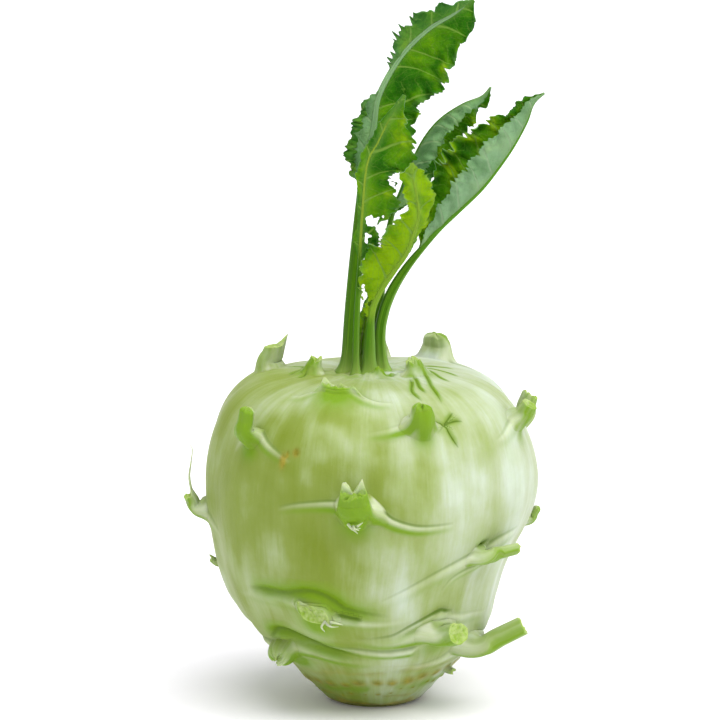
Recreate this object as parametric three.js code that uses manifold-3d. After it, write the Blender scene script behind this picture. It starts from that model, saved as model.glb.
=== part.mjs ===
// A kohlrabi: the swollen stem of a cabbage plant, standing on the flat cut where its root was trimmed.
// Most leaf stalks have been cut to stubs, and six small leaves still grow from the crown.
// Millimetres, +Z up. The origin is the centre of the cut base, and -Y is the front.
import * as THREE from "three";
import { mergeVertices } from "three/addons/utils/BufferGeometryUtils.js";
import Module from "manifold-3d";

const wasm = await Module();
wasm.setup();

// Driving sizes
const HEIGHT = 91; // of the bulb, base to crown
const RADIUS = 44.5; // of the bulb at its widest
const HEART = 50; // height of the point that latitudes on the bulb are measured from
const UNDERCUT = 4; // how far a stub starts under the skin, so that its foot meets the skin all round
const GAP = 0.3; // left between the bulb and each piece that grows on it
const BLADE = 1.0; // thickness of a leaf blade
const BLADE_END = 0.995; // where the blade ends, as a share of its midrib
const FOOT = 1.9; // how quickly a stub narrows as it leaves the skin, smaller being sooner
const TOLERANCE = 0.01; // closest that two corners of a cut solid may lie

const BULB_SIDES = 40;
const BULB_RINGS = 26;
const deg = THREE.MathUtils.degToRad;

const skin = new THREE.MeshStandardMaterial({ color: 0xb4c988, roughness: 0.5, metalness: 0 });
const stubSkin = new THREE.MeshStandardMaterial({ color: 0x9cbb54, roughness: 0.55, metalness: 0 });
const leafSkin = new THREE.MeshStandardMaterial({ color: 0x559a20, roughness: 0.5, metalness: 0 });

// The bulb's outline, from the edge of the cut base over the shoulder to the crown, as shares of its sizes.
const outline = new THREE.SplineCurve(
  [
    [0.25, 0], [0.3, 0.015], [0.39, 0.062], [0.53, 0.13], [0.72, 0.235], [0.86, 0.36],
    [0.96, 0.5], [1, 0.66], [0.965, 0.8], [0.865, 0.905], [0.69, 0.97], [0.42, 1], [0.16, 0.998], [0, 0.992],
  ].map(([r, z]) => new THREE.Vector2(r * RADIUS, z * HEIGHT)),
);

// A smooth hump, 1 at its centre.
function hump(value, centre, reach) {
  return Math.exp(-(((value - centre) / reach) ** 2));
}

// How far the bulb swells past its turned outline, in millimetres, at a height and an azimuth from the front.
// It is a little lobed all round, and flatter low on its right side.
function swelling(z, azimuth) {
  const belly = Math.sin(Math.PI * THREE.MathUtils.clamp(z / HEIGHT, 0, 1)) ** 1.5;
  const lobes = 0.7 * Math.cos(3 * azimuth + 0.6) + 0.5 * Math.cos(5 * azimuth - 1.1);
  const flat = 2.4 * hump(z, 38, 13) * Math.max(0, Math.sin(azimuth)) ** 2;
  return belly * lobes - flat;
}

// The bulb's middle wanders to the left of its base, most of all at the lower belly.
function sideways(z) {
  return -1.2 * THREE.MathUtils.smoothstep(z, 4, 30) - 1.4 * hump(z, 34, 13);
}

// A point of the skin, grown outwards by a distance: share 0 is the base's edge and share 1 the crown.
function skinPoint(share, azimuth, grown = 0) {
  const at = outline.getPointAt(share);
  const along = outline.getTangentAt(share);
  const radius = Math.max(0, at.x + grown * along.y) + (share < 1 ? swelling(at.y, azimuth) : 0);
  return new THREE.Vector3(
    radius * Math.sin(azimuth) + sideways(at.y),
    -radius * Math.cos(azimuth),
    at.y - grown * along.x,
  );
}

// The share of the outline at a latitude seen from the heart, found by halving.
function shareAt(latitude) {
  let [low, high] = [0, 1];
  for (let i = 0; i < 30; i++) {
    const middle = (low + high) / 2;
    const at = outline.getPointAt(middle);
    if (Math.atan2(at.y - HEART, at.x) < latitude) low = middle;
    else high = middle;
  }
  return low;
}

// A geometry as a solid with its shared corners merged, and back again.
function solidOf(geometry) {
  const plain = new THREE.BufferGeometry().setAttribute("position", geometry.getAttribute("position"));
  if (geometry.index) plain.setIndex(geometry.index);
  const merged = mergeVertices(plain, 1e-4);
  const triVerts = new Uint32Array(merged.index.array);
  const vertProperties = merged.getAttribute("position").array;
  return new wasm.Manifold(new wasm.Mesh({ numProp: 3, vertProperties, triVerts }));
}

function geometryOf(solid) {
  const { vertProperties, triVerts } = solid.simplify(TOLERANCE).getMesh();
  return new THREE.BufferGeometry()
    .setAttribute("position", new THREE.BufferAttribute(vertProperties, 3))
    .setIndex(new THREE.BufferAttribute(triVerts, 1));
}

// Moves every corner of a geometry by a function.
function reshaped(geometry, place) {
  const position = geometry.getAttribute("position");
  for (let i = 0; i < position.count; i++) {
    const p = place(new THREE.Vector3().fromBufferAttribute(position, i));
    position.setXYZ(i, p.x, p.y, p.z);
  }
  return geometry;
}

// The bulb as a lathe of even rings, closed under the base, with every ring then set on the true skin.
function bulbGeometry(grown = 0) {
  const floor = grown ? -grown : 0;
  const rings = [new THREE.Vector2(0, 0)];
  for (let i = 0; i < BULB_RINGS; i++) rings.push(new THREE.Vector2(1, 1 + i / (BULB_RINGS - 1)));
  rings.at(-1).x = 0;
  const lathe = new THREE.LatheGeometry(rings, BULB_SIDES).rotateX(Math.PI / 2);
  return reshaped(lathe, (p) => {
    if (p.z < 0.5) return new THREE.Vector3(sideways(0), 0, floor);
    const ring = skinPoint(Math.min(1, p.z - 1), Math.atan2(p.x, -p.y), grown);
    if (p.z > 2 - 1e-6) ring.set(sideways(HEIGHT), 0, ring.z);
    if (p.z < 1 + 1e-6) ring.z = floor;
    return ring;
  });
}

const bulb = solidOf(bulbGeometry());
const clearance = solidOf(bulbGeometry(GAP));

// What is left of a solid outside the bulb's clearance: its largest piece.
function clearOfBulb(solid) {
  const pieces = solid.subtract(clearance).decompose();
  return pieces.sort((a, b) => b.volume() - a.volume())[0];
}

// A tube that follows a curve: an oval of half-widths across and through, given along its length.
function tube(curve, sides, steps, halfSizes, facing, slant = 0) {
  const length = curve.getLength();
  return reshaped(new THREE.CylinderGeometry(1, 1, 1, sides, steps), (p) => {
    const t = THREE.MathUtils.clamp(p.y + 0.5, 0, 1);
    const along = curve.getTangentAt(t);
    const across = along.clone().cross(facing).normalize();
    const through = across.clone().cross(along);
    const [a, b] = halfSizes(t, length);
    const lift = t > 0.999 ? slant * p.x * a : 0; // tilts the cut end
    return curve.getPointAt(t)
      .addScaledVector(across, p.x * a)
      .addScaledVector(through, p.z * b)
      .addScaledVector(along, lift);
  });
}

// A cut leaf stalk. It leaves the skin square to it and bends towards the crown.
// rise is the bend in degrees, lean turns it sideways, slant tilts the cut,
// and knee is the share of its length that it runs before the bend.
function stub({ name, azimuth, latitude, length, width, depth, rise = 40, lean = 0, slant = 0, knee = 0.2 }) {
  const share = shareAt(deg(latitude));
  const turn = deg(azimuth);
  const base = skinPoint(share, turn);
  const up = skinPoint(Math.min(1, share + 0.01), turn).sub(skinPoint(share - 0.01, turn)).normalize();
  const side = new THREE.Vector3(Math.cos(turn), Math.sin(turn), 0);
  const out = side.clone().cross(up).normalize();
  const aim = out.clone().multiplyScalar(Math.cos(deg(rise)))
    .addScaledVector(up, Math.sin(deg(rise)))
    .addScaledVector(side, Math.tan(deg(lean)))
    .normalize();
  const curve = new THREE.CatmullRomCurve3([
    base.clone().addScaledVector(out, -UNDERCUT),
    base.clone().addScaledVector(out, knee * length),
    base.clone().addScaledVector(out, knee * length).addScaledVector(aim, 0.4 * length),
    base.clone().addScaledVector(out, knee * length).addScaledVector(aim, 0.8 * length),
  ]);
  // broad at the skin, like the foot of a leaf stalk, and more so sideways than up and down
  const sizes = (t, whole) => {
    const foot = Math.exp(-Math.max(0, t * whole - UNDERCUT) / FOOT);
    return [0.5 * depth * (1 + 0.7 * foot), 0.5 * width * (1 + 1.3 * foot)];
  };
  const solid = clearOfBulb(solidOf(tube(curve, 10, 7, sizes, side, slant)));
  const mesh = new THREE.Mesh(geometryOf(solid), stubSkin.clone());
  mesh.name = name;
  return mesh;
}

// A value read from an evenly spaced list, smoothly.
function smoothRead(list, t) {
  const place = t * (list.length - 1);
  const i = Math.min(Math.floor(place), list.length - 2);
  const f = place - i;
  return THREE.MathUtils.lerp(list[i], list[i + 1], f * f * (3 - 2 * f));
}

// One half of a leaf's blade, hinged on the midrib: side is -1 for the left half and 1 for the right.
// It has its widths from the blade's foot to its tip, the angle that it is folded at,
// and the further angle that it curls through on the way to its margin.
function halfBlade(curve, front, from, side, { width, fold, curl = 0 }) {
  const hinge = deg(fold);
  const turn = deg(curl) || 1e-3;
  return solidOf(reshaped(new THREE.BoxGeometry(1, 1, 1, 4, 14, 1).translate(0.5 * side, 0, 0), (p) => {
    const s = THREE.MathUtils.clamp(p.y + 0.5, 0, 1);
    const t = THREE.MathUtils.lerp(from, BLADE_END, s);
    const along = curve.getTangentAt(t);
    const across = along.clone().cross(front).normalize();
    const through = across.clone().cross(along);
    const arc = smoothRead(width, s) / turn;
    const angle = hinge + turn * Math.abs(p.x);
    const outwards = side * arc * (Math.sin(angle) - Math.sin(hinge));
    const forwards = arc * (Math.cos(hinge) - Math.cos(angle));
    return curve.getPointAt(t)
      .addScaledVector(across, outwards - BLADE * p.z * Math.sin(side * angle))
      .addScaledVector(through, forwards + BLADE * p.z * Math.cos(angle));
  }));
}

// A leaf: a stalk that runs on as the midrib, and the two halves of its blade. The stalk has its width
// at the crown and at the leaf's tip, and bladeFrom is the share of the midrib where the blade begins.
function leaf({ name, path, stalk, bladeFrom, left, right }) {
  const curve = new THREE.CatmullRomCurve3(path.map((p) => new THREE.Vector3(...p)));
  const front = new THREE.Vector3(0, -1, 0);
  const taper = (t) => 0.5 * THREE.MathUtils.lerp(stalk[0], stalk[1], t);
  const rib = solidOf(tube(curve, 8, 16, (t) => [taper(t), 0.9 * taper(t)], front));
  const whole = rib
    .add(halfBlade(curve, front, bladeFrom, -1, left))
    .add(halfBlade(curve, front, bladeFrom, 1, right));
  const mesh = new THREE.Mesh(geometryOf(clearOfBulb(whole)), leafSkin.clone());
  mesh.name = name;
  return mesh;
}

// The stubs, by azimuth from the front (positive to the right) and latitude, in degrees.
const stubs = [
  { name: "stub_front_middle", azimuth: -5, latitude: 16, length: 8.6, width: 7, depth: 4.6, rise: 62 },
  { name: "stub_front_right_high", azimuth: 21, latitude: 42, length: 5, width: 4.6, depth: 4.2, rise: 60 },
  {
    name: "stub_front_left_high", azimuth: -49, latitude: 35, length: 9, width: 4.4, depth: 4,
    rise: 64, lean: 10,
  },
  { name: "stub_front_crown", azimuth: -19, latitude: 57, length: 2.6, width: 9, depth: 2.2, rise: 20 },
  { name: "stub_crown_right", azimuth: 64, latitude: 72, length: 3.2, width: 5.4, depth: 3.2, rise: 8 },
  { name: "stub_crown_left", azimuth: -80, latitude: 70, length: 3.2, width: 4.4, depth: 3.2, rise: 10 },
  {
    name: "stub_shoulder_left", azimuth: -112, latitude: 54, length: 6.6, width: 6.4, depth: 5.4,
    rise: 32, knee: 0.1, slant: 0.4,
  },
  {
    name: "stub_shoulder_back_right", azimuth: 142, latitude: 54, length: 4.6, width: 6.4, depth: 4.6,
    rise: 24,
  },
  { name: "stub_right_high", azimuth: 73, latitude: 37, length: 4.4, width: 4.8, depth: 4.6, rise: 26 },
  { name: "stub_left_middle", azimuth: -90, latitude: 5, length: 4.6, width: 5.4, depth: 3.2, rise: 66 },
  { name: "stub_left_low", azimuth: -94, latitude: -17, length: 3, width: 2.8, depth: 2, rise: 40 },
  {
    name: "stub_right_middle", azimuth: 46, latitude: -4, length: 13, width: 4.6, depth: 3.6,
    rise: 32, lean: 75, knee: 0.08,
  },
  { name: "stub_right_edge", azimuth: 99, latitude: -2, length: 5.4, width: 3, depth: 2.2, rise: 66 },
  { name: "stub_front_low", azimuth: -19, latitude: -22, length: 3, width: 9.6, depth: 4.6, rise: 12 },
  { name: "stub_left_base", azimuth: -46, latitude: -44.5, length: 3, width: 7, depth: 5.6, rise: -4 },
  {
    name: "stub_right_low", azimuth: 36, latitude: -33.5, length: 5.6, width: 6.6, depth: 6.2,
    rise: 46, lean: 6, knee: 0.1,
  },
  {
    name: "stub_right_long", azimuth: 61, latitude: -42.5, length: 16.2, width: 6.8, depth: 5.4,
    rise: 66, lean: 30, knee: 0.03,
  },
  { name: "stub_right_base", azimuth: 64, latitude: -60, length: 2.6, width: 2.6, depth: 1.8, rise: 20 },
  {
    name: "stub_back_low", azimuth: 172, latitude: -36, length: 6, width: 6.4, depth: 4.6,
    rise: 50, knee: 0.1,
  },
  { name: "stub_back_left_low", azimuth: -138, latitude: -30, length: 4.6, width: 6, depth: 4.2, rise: 40 },
  { name: "stub_back_right_low", azimuth: 134, latitude: -14, length: 7.4, width: 6, depth: 4.2, rise: 56 },
  { name: "stub_back_middle", azimuth: -170, latitude: 6, length: 8.5, width: 6.8, depth: 4.6, rise: 60 },
  { name: "stub_back_left_high", azimuth: -134, latitude: 26, length: 6.4, width: 5.6, depth: 4, rise: 58 },
  { name: "stub_back_right_high", azimuth: 118, latitude: 28, length: 7, width: 5.8, depth: 4.2, rise: 54 },
  { name: "stub_back_high", azimuth: 178, latitude: 44, length: 5.4, width: 6, depth: 4.2, rise: 52 },
];

const leaves = [
  {
    name: "leaf_tall",
    path: [
      [-7, -1, 86], [-6.1, -1, 105], [-4.5, 0, 124.6], [-2.7, 1, 146], [-0.3, 2, 157],
      [1.3, 3, 166], [7.2, 4, 176.4], [14.6, 3, 184], [21.6, 1, 188.6], [27, 0, 192.8],
    ],
    stalk: [4.4, 1], bladeFrom: 0.465,
    left: { width: [0.6, 7, 10, 10.5, 9.6, 6.4, 1, 1, 3, 6, 7.4, 7.6, 6.4, 4, 0.6], fold: 20, curl: 30 },
    right: { width: [0.6, 3, 7, 9, 11.5, 12.5, 12, 13.8, 14.6, 14.2, 13, 11, 8.6, 6, 1], fold: -6, curl: 24 },
  },
  {
    name: "leaf_front",
    path: [
      [-5, -5.4, 86], [-4.8, -5.7, 103], [-4, -6.6, 120], [-3.2, -8, 135],
      [-1.9, -8.6, 149], [1.1, -9, 155.5], [4.3, -9.4, 162], [8.2, -9, 168.6],
    ],
    stalk: [1.9, 0.8], bladeFrom: 0.43,
    left: { width: [0.6, 1.6, 2.2, 1.6, 1.6, 1.8, 2.2, 2.6, 2.6, 2.4, 2.4, 2.2, 1.6, 0.8, 0.5], fold: -12 },
    right: { width: [0.8, 5, 6, 4.6, 8.5, 10, 9.6, 8, 9, 10.4, 11.4, 10, 5.4, 2.6, 0.6], fold: 6, curl: 14 },
  },
  {
    name: "leaf_centre",
    path: [
      [-1.2, -4, 86], [-1.3, -4.5, 99], [-0.6, -5.2, 108], [1.6, -6.2, 114], [5.4, -7.5, 120], [8.6, -9, 125],
      [10.8, -11, 131.4], [11.9, -12, 136.4], [11.3, -13, 141.6], [10.2, -13.5, 146.5], [10, -14, 151],
    ],
    stalk: [3.6, 0.9], bladeFrom: 0.28,
    left: { width: [0.6, 2.6, 5, 7.4, 9.6, 11, 10.4, 9, 8.6, 7, 4.4, 3.4, 3.6, 3.4, 0.6], fold: 8, curl: 16 },
    right: { width: [0.6, 0.6, 0.6, 0.8, 1, 1, 1, 1.2, 1.8, 3, 4.6, 5.4, 5.4, 4, 0.6], fold: -20, curl: -10 },
  },
  {
    name: "leaf_back",
    path: [
      [0, 4, 86], [1.5, 4.5, 109.5], [4.2, 5, 130], [7.5, 5.5, 140], [10.8, 6, 148.4], [14.3, 6, 154.8],
      [18.4, 6, 159.4], [23.9, 5, 163.2], [28.8, 4, 165.6], [31.4, 3, 168.6],
    ],
    stalk: [2.8, 0.8], bladeFrom: 0.5,
    left: { width: [0.6, 4, 6, 7, 7, 6, 5, 3, 0.6], fold: 122, curl: 10 },
    right: { width: [0.6, 6, 9, 11, 11.5, 10, 8, 5, 0.6], fold: -38, curl: 16 },
  },
  {
    name: "leaf_right",
    path: [
      [2.6, -0.5, 86], [1.6, 0, 99.6], [2.6, 0, 107], [5, 0, 113.3], [8.6, 0, 119.2], [12.6, -0.5, 124.4],
      [17.6, -1, 130.2], [22.5, -1.5, 135], [28.6, -2, 141], [33.2, -2, 146.8], [37.4, -2, 153],
      [40.8, -2, 159.4], [42.8, -2, 164.4], [46, -3, 167.7],
    ],
    stalk: [3.2, 0.9], bladeFrom: 0.42,
    left: { width: [0.6, 6, 10, 14, 15, 13.5, 10, 5, 0.6], fold: -24, curl: 30 },
    right: { width: [0.6, 3.4, 6, 8.2, 9, 8.6, 6.6, 3.5, 0.6], fold: 150, curl: 6 },
  },
  {
    name: "leaf_young",
    path: [[-3.7, 2.6, 86], [-3.6, 2.6, 97], [-3, 2.6, 102], [-1.8, 2.4, 108], [-0.4, 2.2, 113]],
    stalk: [1.6, 0.8], bladeFrom: 0.34,
    left: { width: [0.5, 1.8, 2.6, 2.6, 1.8, 0.5], fold: 10 },
    right: { width: [0.5, 1.8, 2.6, 2.6, 1.8, 0.5], fold: 10 },
  },
];

const kohlrabi = new THREE.Group();
const bulbMesh = new THREE.Mesh(geometryOf(bulb), skin);
bulbMesh.name = "bulb";
kohlrabi.add(bulbMesh, ...stubs.map(stub), ...leaves.map(leaf));

export default kohlrabi;
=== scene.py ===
# A kohlrabi on a pale floor: the bulb, its cut leaf stalks and its young leaves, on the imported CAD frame.
# Shapes are worked out in millimetres and turned into metres when a mesh is made.
import math

import bpy
import numpy as np
from mathutils import Matrix, Vector


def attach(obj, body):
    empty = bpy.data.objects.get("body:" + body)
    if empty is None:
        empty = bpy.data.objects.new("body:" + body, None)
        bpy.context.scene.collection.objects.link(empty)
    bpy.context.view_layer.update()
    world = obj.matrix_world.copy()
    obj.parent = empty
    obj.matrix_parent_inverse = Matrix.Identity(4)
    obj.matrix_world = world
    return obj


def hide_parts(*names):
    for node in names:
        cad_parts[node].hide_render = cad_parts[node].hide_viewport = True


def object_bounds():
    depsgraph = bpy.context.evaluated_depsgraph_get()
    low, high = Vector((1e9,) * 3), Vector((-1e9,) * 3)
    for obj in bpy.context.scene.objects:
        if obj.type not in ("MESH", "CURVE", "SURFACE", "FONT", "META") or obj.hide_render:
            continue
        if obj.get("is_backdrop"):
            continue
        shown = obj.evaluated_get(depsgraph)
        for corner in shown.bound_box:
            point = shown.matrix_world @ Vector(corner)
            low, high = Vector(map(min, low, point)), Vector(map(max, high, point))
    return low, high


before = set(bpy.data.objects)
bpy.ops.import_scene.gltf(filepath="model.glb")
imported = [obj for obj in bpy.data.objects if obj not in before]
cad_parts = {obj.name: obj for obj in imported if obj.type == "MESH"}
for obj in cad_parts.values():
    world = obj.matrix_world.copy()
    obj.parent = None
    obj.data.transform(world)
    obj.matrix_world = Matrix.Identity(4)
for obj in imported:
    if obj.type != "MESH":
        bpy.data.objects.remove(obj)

cad_box = [list(corner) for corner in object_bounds()]

MM = 0.001
HEIGHT = 91.0  # of the bulb, base to crown
RADIUS = 44.5  # of the bulb at its widest
HEART = 50.0  # height of the point that latitudes on the bulb are measured from
OUTLINE = [
    (0.25, 0), (0.3, 0.015), (0.39, 0.062), (0.53, 0.13), (0.72, 0.235), (0.86, 0.36), (0.96, 0.5), (1, 0.66),
    (0.965, 0.8), (0.865, 0.905), (0.69, 0.97), (0.42, 1), (0.16, 0.998), (0, 0.992),
]
BULB_SIDES = 330
BULB_RINGS = 290
FRONT_DENSITY = 0.38  # how much closer together the bulb's columns stand at the front
BASE_RINGS = 8  # on the cut face under the bulb
CURVE_STEPS = 48  # between two points of a curve
WAVE_COUNT = 14  # plane waves in a patch of smooth noise
BUMP_DISTANCE = 0.0004  # metres between the lows and highs of a material's finest relief


# ---------------------------------------------------------------- curves and waves


class Path:
    """A smooth curve through points, read by the share of its length."""

    def __init__(self, points):
        p = np.asarray(points, float)
        p = np.vstack([2 * p[0] - p[1], p, 2 * p[-1] - p[-2]])
        t = np.linspace(0, 1, CURVE_STEPS, endpoint=False)[:, None]
        rows = []
        for a, b, c, d in zip(p, p[1:], p[2:], p[3:]):
            bow = (2 * a - 5 * b + 4 * c - d) * t**2
            rows.append(0.5 * (2 * b + (c - a) * t + bow + (3 * b - a - 3 * c + d) * t**3))
        self.line = np.vstack(rows + [p[-2:-1]])
        steps = np.linalg.norm(np.diff(self.line, axis=0), axis=1)
        self.reach = np.concatenate([[0], np.cumsum(steps)])
        self.length = self.reach[-1]

    def at(self, share):
        want = np.clip(share, 0, 1) * self.length
        return np.stack([np.interp(want, self.reach, column) for column in self.line.T], -1)

    def along(self, share):
        share = np.clip(share, 0, 1)
        step = 0.004
        return unit(self.at(share + step) - self.at(share - step))


def unit(v):
    return v / np.maximum(np.linalg.norm(v, axis=-1, keepdims=True), 1e-12)


def hump(value, centre, reach):
    """1 at centre, falling smoothly to 0 either side of it."""
    return np.exp(-(((value - centre) / reach) ** 2))


def ease(low, high, value):
    """0 below low, 1 above high, and smooth between."""
    t = np.clip((value - low) / (high - low), 0, 1)
    return t * t * (3 - 2 * t)


def mix(a, b, share):
    return a + (b - a) * share


def round_angles(count):
    """Evenly spaced angles all the way round."""
    return np.linspace(0, 2 * math.pi, count, endpoint=False)


def read(values, share):
    """A value from an evenly spaced list, smoothly."""
    place = np.clip(share, 0, 1) * (len(values) - 1)
    i = np.minimum(place.astype(int), len(values) - 2)
    f = place - i
    v = np.asarray(values, float)
    return mix(v[i], v[i + 1], f * f * (3 - 2 * f))


def waves(points, seed, shortest, longest):
    """Smooth noise of about -1 to 1 over points, from plane waves of these wavelengths."""
    draw = np.random.default_rng(seed)
    heading = unit(draw.normal(size=(WAVE_COUNT, points.shape[-1])))
    number = 2 * math.pi / draw.uniform(shortest, longest, WAVE_COUNT)
    phase = draw.uniform(0, 2 * math.pi, WAVE_COUNT)
    return np.sin(points @ (heading * number[:, None]).T + phase).sum(-1) * math.sqrt(2 / WAVE_COUNT) * 0.7


# ---------------------------------------------------------------- the bulb's skin

profile = Path([(r * RADIUS, z * HEIGHT) for r, z in OUTLINE])
_shares = np.linspace(0, 1, 2001)
_profile_points = profile.at(_shares)
_latitudes = np.maximum.accumulate(np.arctan2(_profile_points[:, 1] - HEART, _profile_points[:, 0]))


def bare_skin(azimuth, share):
    """Points and outward normals of the smooth bulb, and the direction up the skin."""
    at = profile.at(share)
    along = profile.along(share)
    r, z = at[..., 0], at[..., 1]
    belly = np.sin(math.pi * np.clip(z / HEIGHT, 0, 1)) ** 1.5
    lobes = 0.7 * np.cos(3 * azimuth + 0.6) + 0.5 * np.cos(5 * azimuth - 1.1)
    flat = 2.4 * hump(z, 38, 13) * np.maximum(0, np.sin(azimuth)) ** 2
    r = r + belly * lobes - flat
    sideways = -1.2 * ease(4, 30, z) - 1.4 * hump(z, 34, 13)
    sin, cos = np.sin(azimuth), np.cos(azimuth)
    point = np.stack([r * sin + sideways, -r * cos, z], -1)
    normal = np.stack([along[..., 1] * sin, -along[..., 1] * cos, -along[..., 0]], -1)
    up = np.stack([along[..., 0] * sin, -along[..., 0] * cos, along[..., 1]], -1)
    return point, unit(normal), unit(up)


def share_at(latitude):
    return float(np.interp(math.radians(latitude), _latitudes, _shares))


def moved(azimuth, share, side, up):
    """Where on the skin a point lies that is side and up millimetres from another."""
    r = np.maximum(profile.at(np.asarray(share, float))[..., 0], 3.0)
    return azimuth + side / r, share + up / profile.length


# The cut stalks, by azimuth from the front (positive to the right) and latitude, in degrees, then their
# length, width and depth, and rise, their bend towards the crown in degrees. wings are how far the foot
# reaches to the left, how fast that falls to the skin, and the same for the right. lean turns the stalk
# sideways, and knee is the share of its length that it stands straight out before it bends. taper is how
# much wider it starts than it ends, skirt spreads its foot up and down, slant tilts its cut end, twist
# turns its section, knob rounds its end, and tear is how ragged the end is. green colours its sides, most
# on its underside and on the skin under its foot, partly as painted shade; pale sets a painted highlight
# on its upper, right-hand flank; and flesh colours its end. prongs are slivers left standing on the end:
# where round it, how tall, how wide. fibres are threads torn out of it, in millimetres sideways, up and
# out from its foot.
STUBS = {}


def stub(name, at, size, rise, wings, **shape):
    STUBS["stub_" + name] = dict(at=at, size=size, rise=rise, wings=wings, **shape)


stub("front_middle", (-5, 16), (8.6, 7, 4.6), 62, (1, 0.45, 4.5, 1.5), slant=0.1, taper=0.5, tear=0.7,
     flesh=0.25, green=1.1, skirt=3,
     prongs=[(2.3, 2, 0.42), (0.85, 2.3, 0.36), (1.5, -1.8, 0.3), (4.4, -1.2, 0.8)],
     fibres=[[(-1.5, -2.9, 3.2), (0, -4.2, 4), (2, -3.8, 3.9)],
             [(0.8, -3.6, 3.2), (1.5, -3, 4.4), (2.6, -2.2, 4.6)],
             [(-0.8, -3.6, 3.2), (0.6, -4.8, 3.6), (1.2, -5.4, 3.6)],
             [(0, -3.4, 3.4), (0.4, -3.8, 4.6), (1.6, -4.4, 4.4)]])
stub("front_right_high", (21, 42), (5, 4.6, 4.2), 60, (3, 0.9, 1.6, 0.7), knob=1.2, taper=0.7, tear=0.6,
     green=0.95, skirt=1.8, prongs=[(3, 0.6, 0.6)])
stub("front_left_high", (-49, 35), (9, 4.4, 4), 64, (0.6, 0.8, 1.3, 1.3), lean=10, knob=1.2, taper=0.25,
     tear=0.3, green=1.2, skirt=1.3)
stub("front_crown", (-19, 57), (1.2, 9, 1.6), 20, (2.5, 0.5, 3, 0.5), taper=0.3, tear=0.7, flesh=0.5,
     green=1.2, skirt=1.2, prongs=[(2.7, 1.6, 0.4), (0.9, 0.4, 0.4), (4.9, -0.7, 0.5)])
stub("crown_right", (64, 72), (2.8, 5.4, 3.2), 8, (3, 0.8, 3, 0.8), taper=0.4, tear=0.8, green=0.7,
     skirt=2.4, prongs=[(1.2, 1.2, 0.6)])
stub("crown_left", (-80, 70), (3.2, 4.4, 3.2), 10, (4, 0.7, 3, 0.7), taper=0.4, tear=0.8, green=0.9,
     skirt=2, prongs=[(1.8, 1, 0.6)])
stub("shoulder_left", (-112, 54), (6.6, 6.4, 5.4), 32, (1.5, 1, 1.5, 1), knee=0.1, taper=0.3, slant=0.4,
     tear=0.1, green=0.45, skirt=1.6, prongs=[(2.1, 3.2, 0.45)])
stub("shoulder_back_right", (142, 54), (4.6, 6.4, 4.6), 24, (4, 1.2, 3, 1), knob=0.9, taper=0.45, tear=0.25,
     green=0.9)
stub("right_high", (73, 37), (4.4, 4.8, 4.6), 26, (3, 0.9, 2, 0.8), taper=0.2, tear=0.04, flesh=0.5,
     green=0.9, skirt=1.4)
stub("left_middle", (-90, 5), (4.6, 5.4, 3.2), 66, (4, 1.2, 4, 1.4), taper=0.3, tear=0.3, green=0.85,
     prongs=[(1.6, 1.6, 0.8)],
     fibres=[[(-0.3, 0.5, 0.6), (-0.6, 4, 1.6), (-0.8, 8, 1.9), (-0.6, 12, 1), (-0.8, 15.5, 0.2), (-0.6,
      17, 0.8)]])
stub("left_low", (-94, -17), (2.6, 2.6, 1.8), 40, (2, 0.7, 2, 0.7), tear=0.3, green=0.6, skirt=1.4,
     prongs=[(1.5, 0.9, 0.6)])
stub("right_middle", (46, -4), (13, 4.4, 3.4), 32, (4, 0.9, 2, 0.8), lean=75, knee=0.08, taper=0.2,
     tear=0.3, green=0.7, skirt=1.6)
stub("right_edge", (99, -2), (5.4, 3, 2.2), 66, (2, 0.8, 2, 0.8), knob=1, tear=0.15, green=0.9, skirt=1.6)
stub("front_low", (-19, -22), (1.3, 9.6, 4.6), 12, (2.5, 0.5, 3, 0.6), twist=-15, tear=0.16, green=1,
     skirt=1.2,
     fibres=[[(3.4, -1.6, 1.2), (2.2, -3.2, 2.2), (2.8, -5, 2)], [(4, -2, 1.2), (6.4, -2, 1.7), (8, -2.8,
      1.2)],
             [(3, -1.8, 1.2), (4.6, -3, 2), (6.8, -3.2, 1.6)]])
stub("left_base", (-46, -44.5), (2, 7, 5.6), -4, (1, 0.8, 3, 1), knee=0.1, knob=0.8, tear=1.1, green=1.7,
     pale=0.2, skirt=1.2)
stub("right_low", (36, -33.5), (5.6, 6.6, 6.2), 46, (8, 1.4, 2, 0.9), lean=6, knee=0.1, tear=0.08,
     green=0.8, skirt=2.2)
stub("right_long", (61, -42.5), (16.2, 6.8, 5.4), 66, (5, 1.6, 4, 1.4), lean=30, knee=0.03, taper=0.2,
     tear=0.2, green=0.75, skirt=0.7, prongs=[(0.6, -0.9, 0.3)])
stub("right_base", (64, -60), (2, 2.4, 1.5), 20, (1.5, 0.6, 1.5, 0.6), tear=0.35, green=0.5, skirt=1.2)
stub("back_low", (172, -36), (6, 6.4, 4.6), 50, (4, 1, 5, 1.2), knee=0.1, taper=0.3, tear=0.25, green=0.8)
stub("back_left_low", (-138, -30), (4.6, 6, 4.2), 40, (5, 1.1, 4, 1), taper=0.3, tear=0.5, green=0.8)
stub("back_right_low", (134, -14), (7.4, 6, 4.2), 56, (4, 1.1, 5, 1.6), taper=0.3, tear=0.2, green=0.8,
     slant=0.3)
stub("back_middle", (-170, 6), (8.5, 6.8, 4.6), 60, (5.5, 1.8, 4, 0.7), taper=0.4, slant=0.2, tear=0.6,
     flesh=0.4, green=1, skirt=3, prongs=[(2.3, 2, 0.5), (1.4, -1, 0.3)])
stub("back_left_high", (-134, 26), (6.4, 5.6, 4), 58, (4, 1.1, 5, 1.8), knob=1.8, taper=0.3, tear=0.3,
     green=0.9)
stub("back_right_high", (118, 28), (7, 5.8, 4.2), 54, (5, 1.6, 3, 1), taper=0.3, tear=0.4, green=0.8,
     slant=0.4)
stub("back_high", (178, 44), (5.4, 6, 4.2), 52, (4, 1, 5, 1.2), taper=0.35, tear=0.4, green=0.8)
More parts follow.
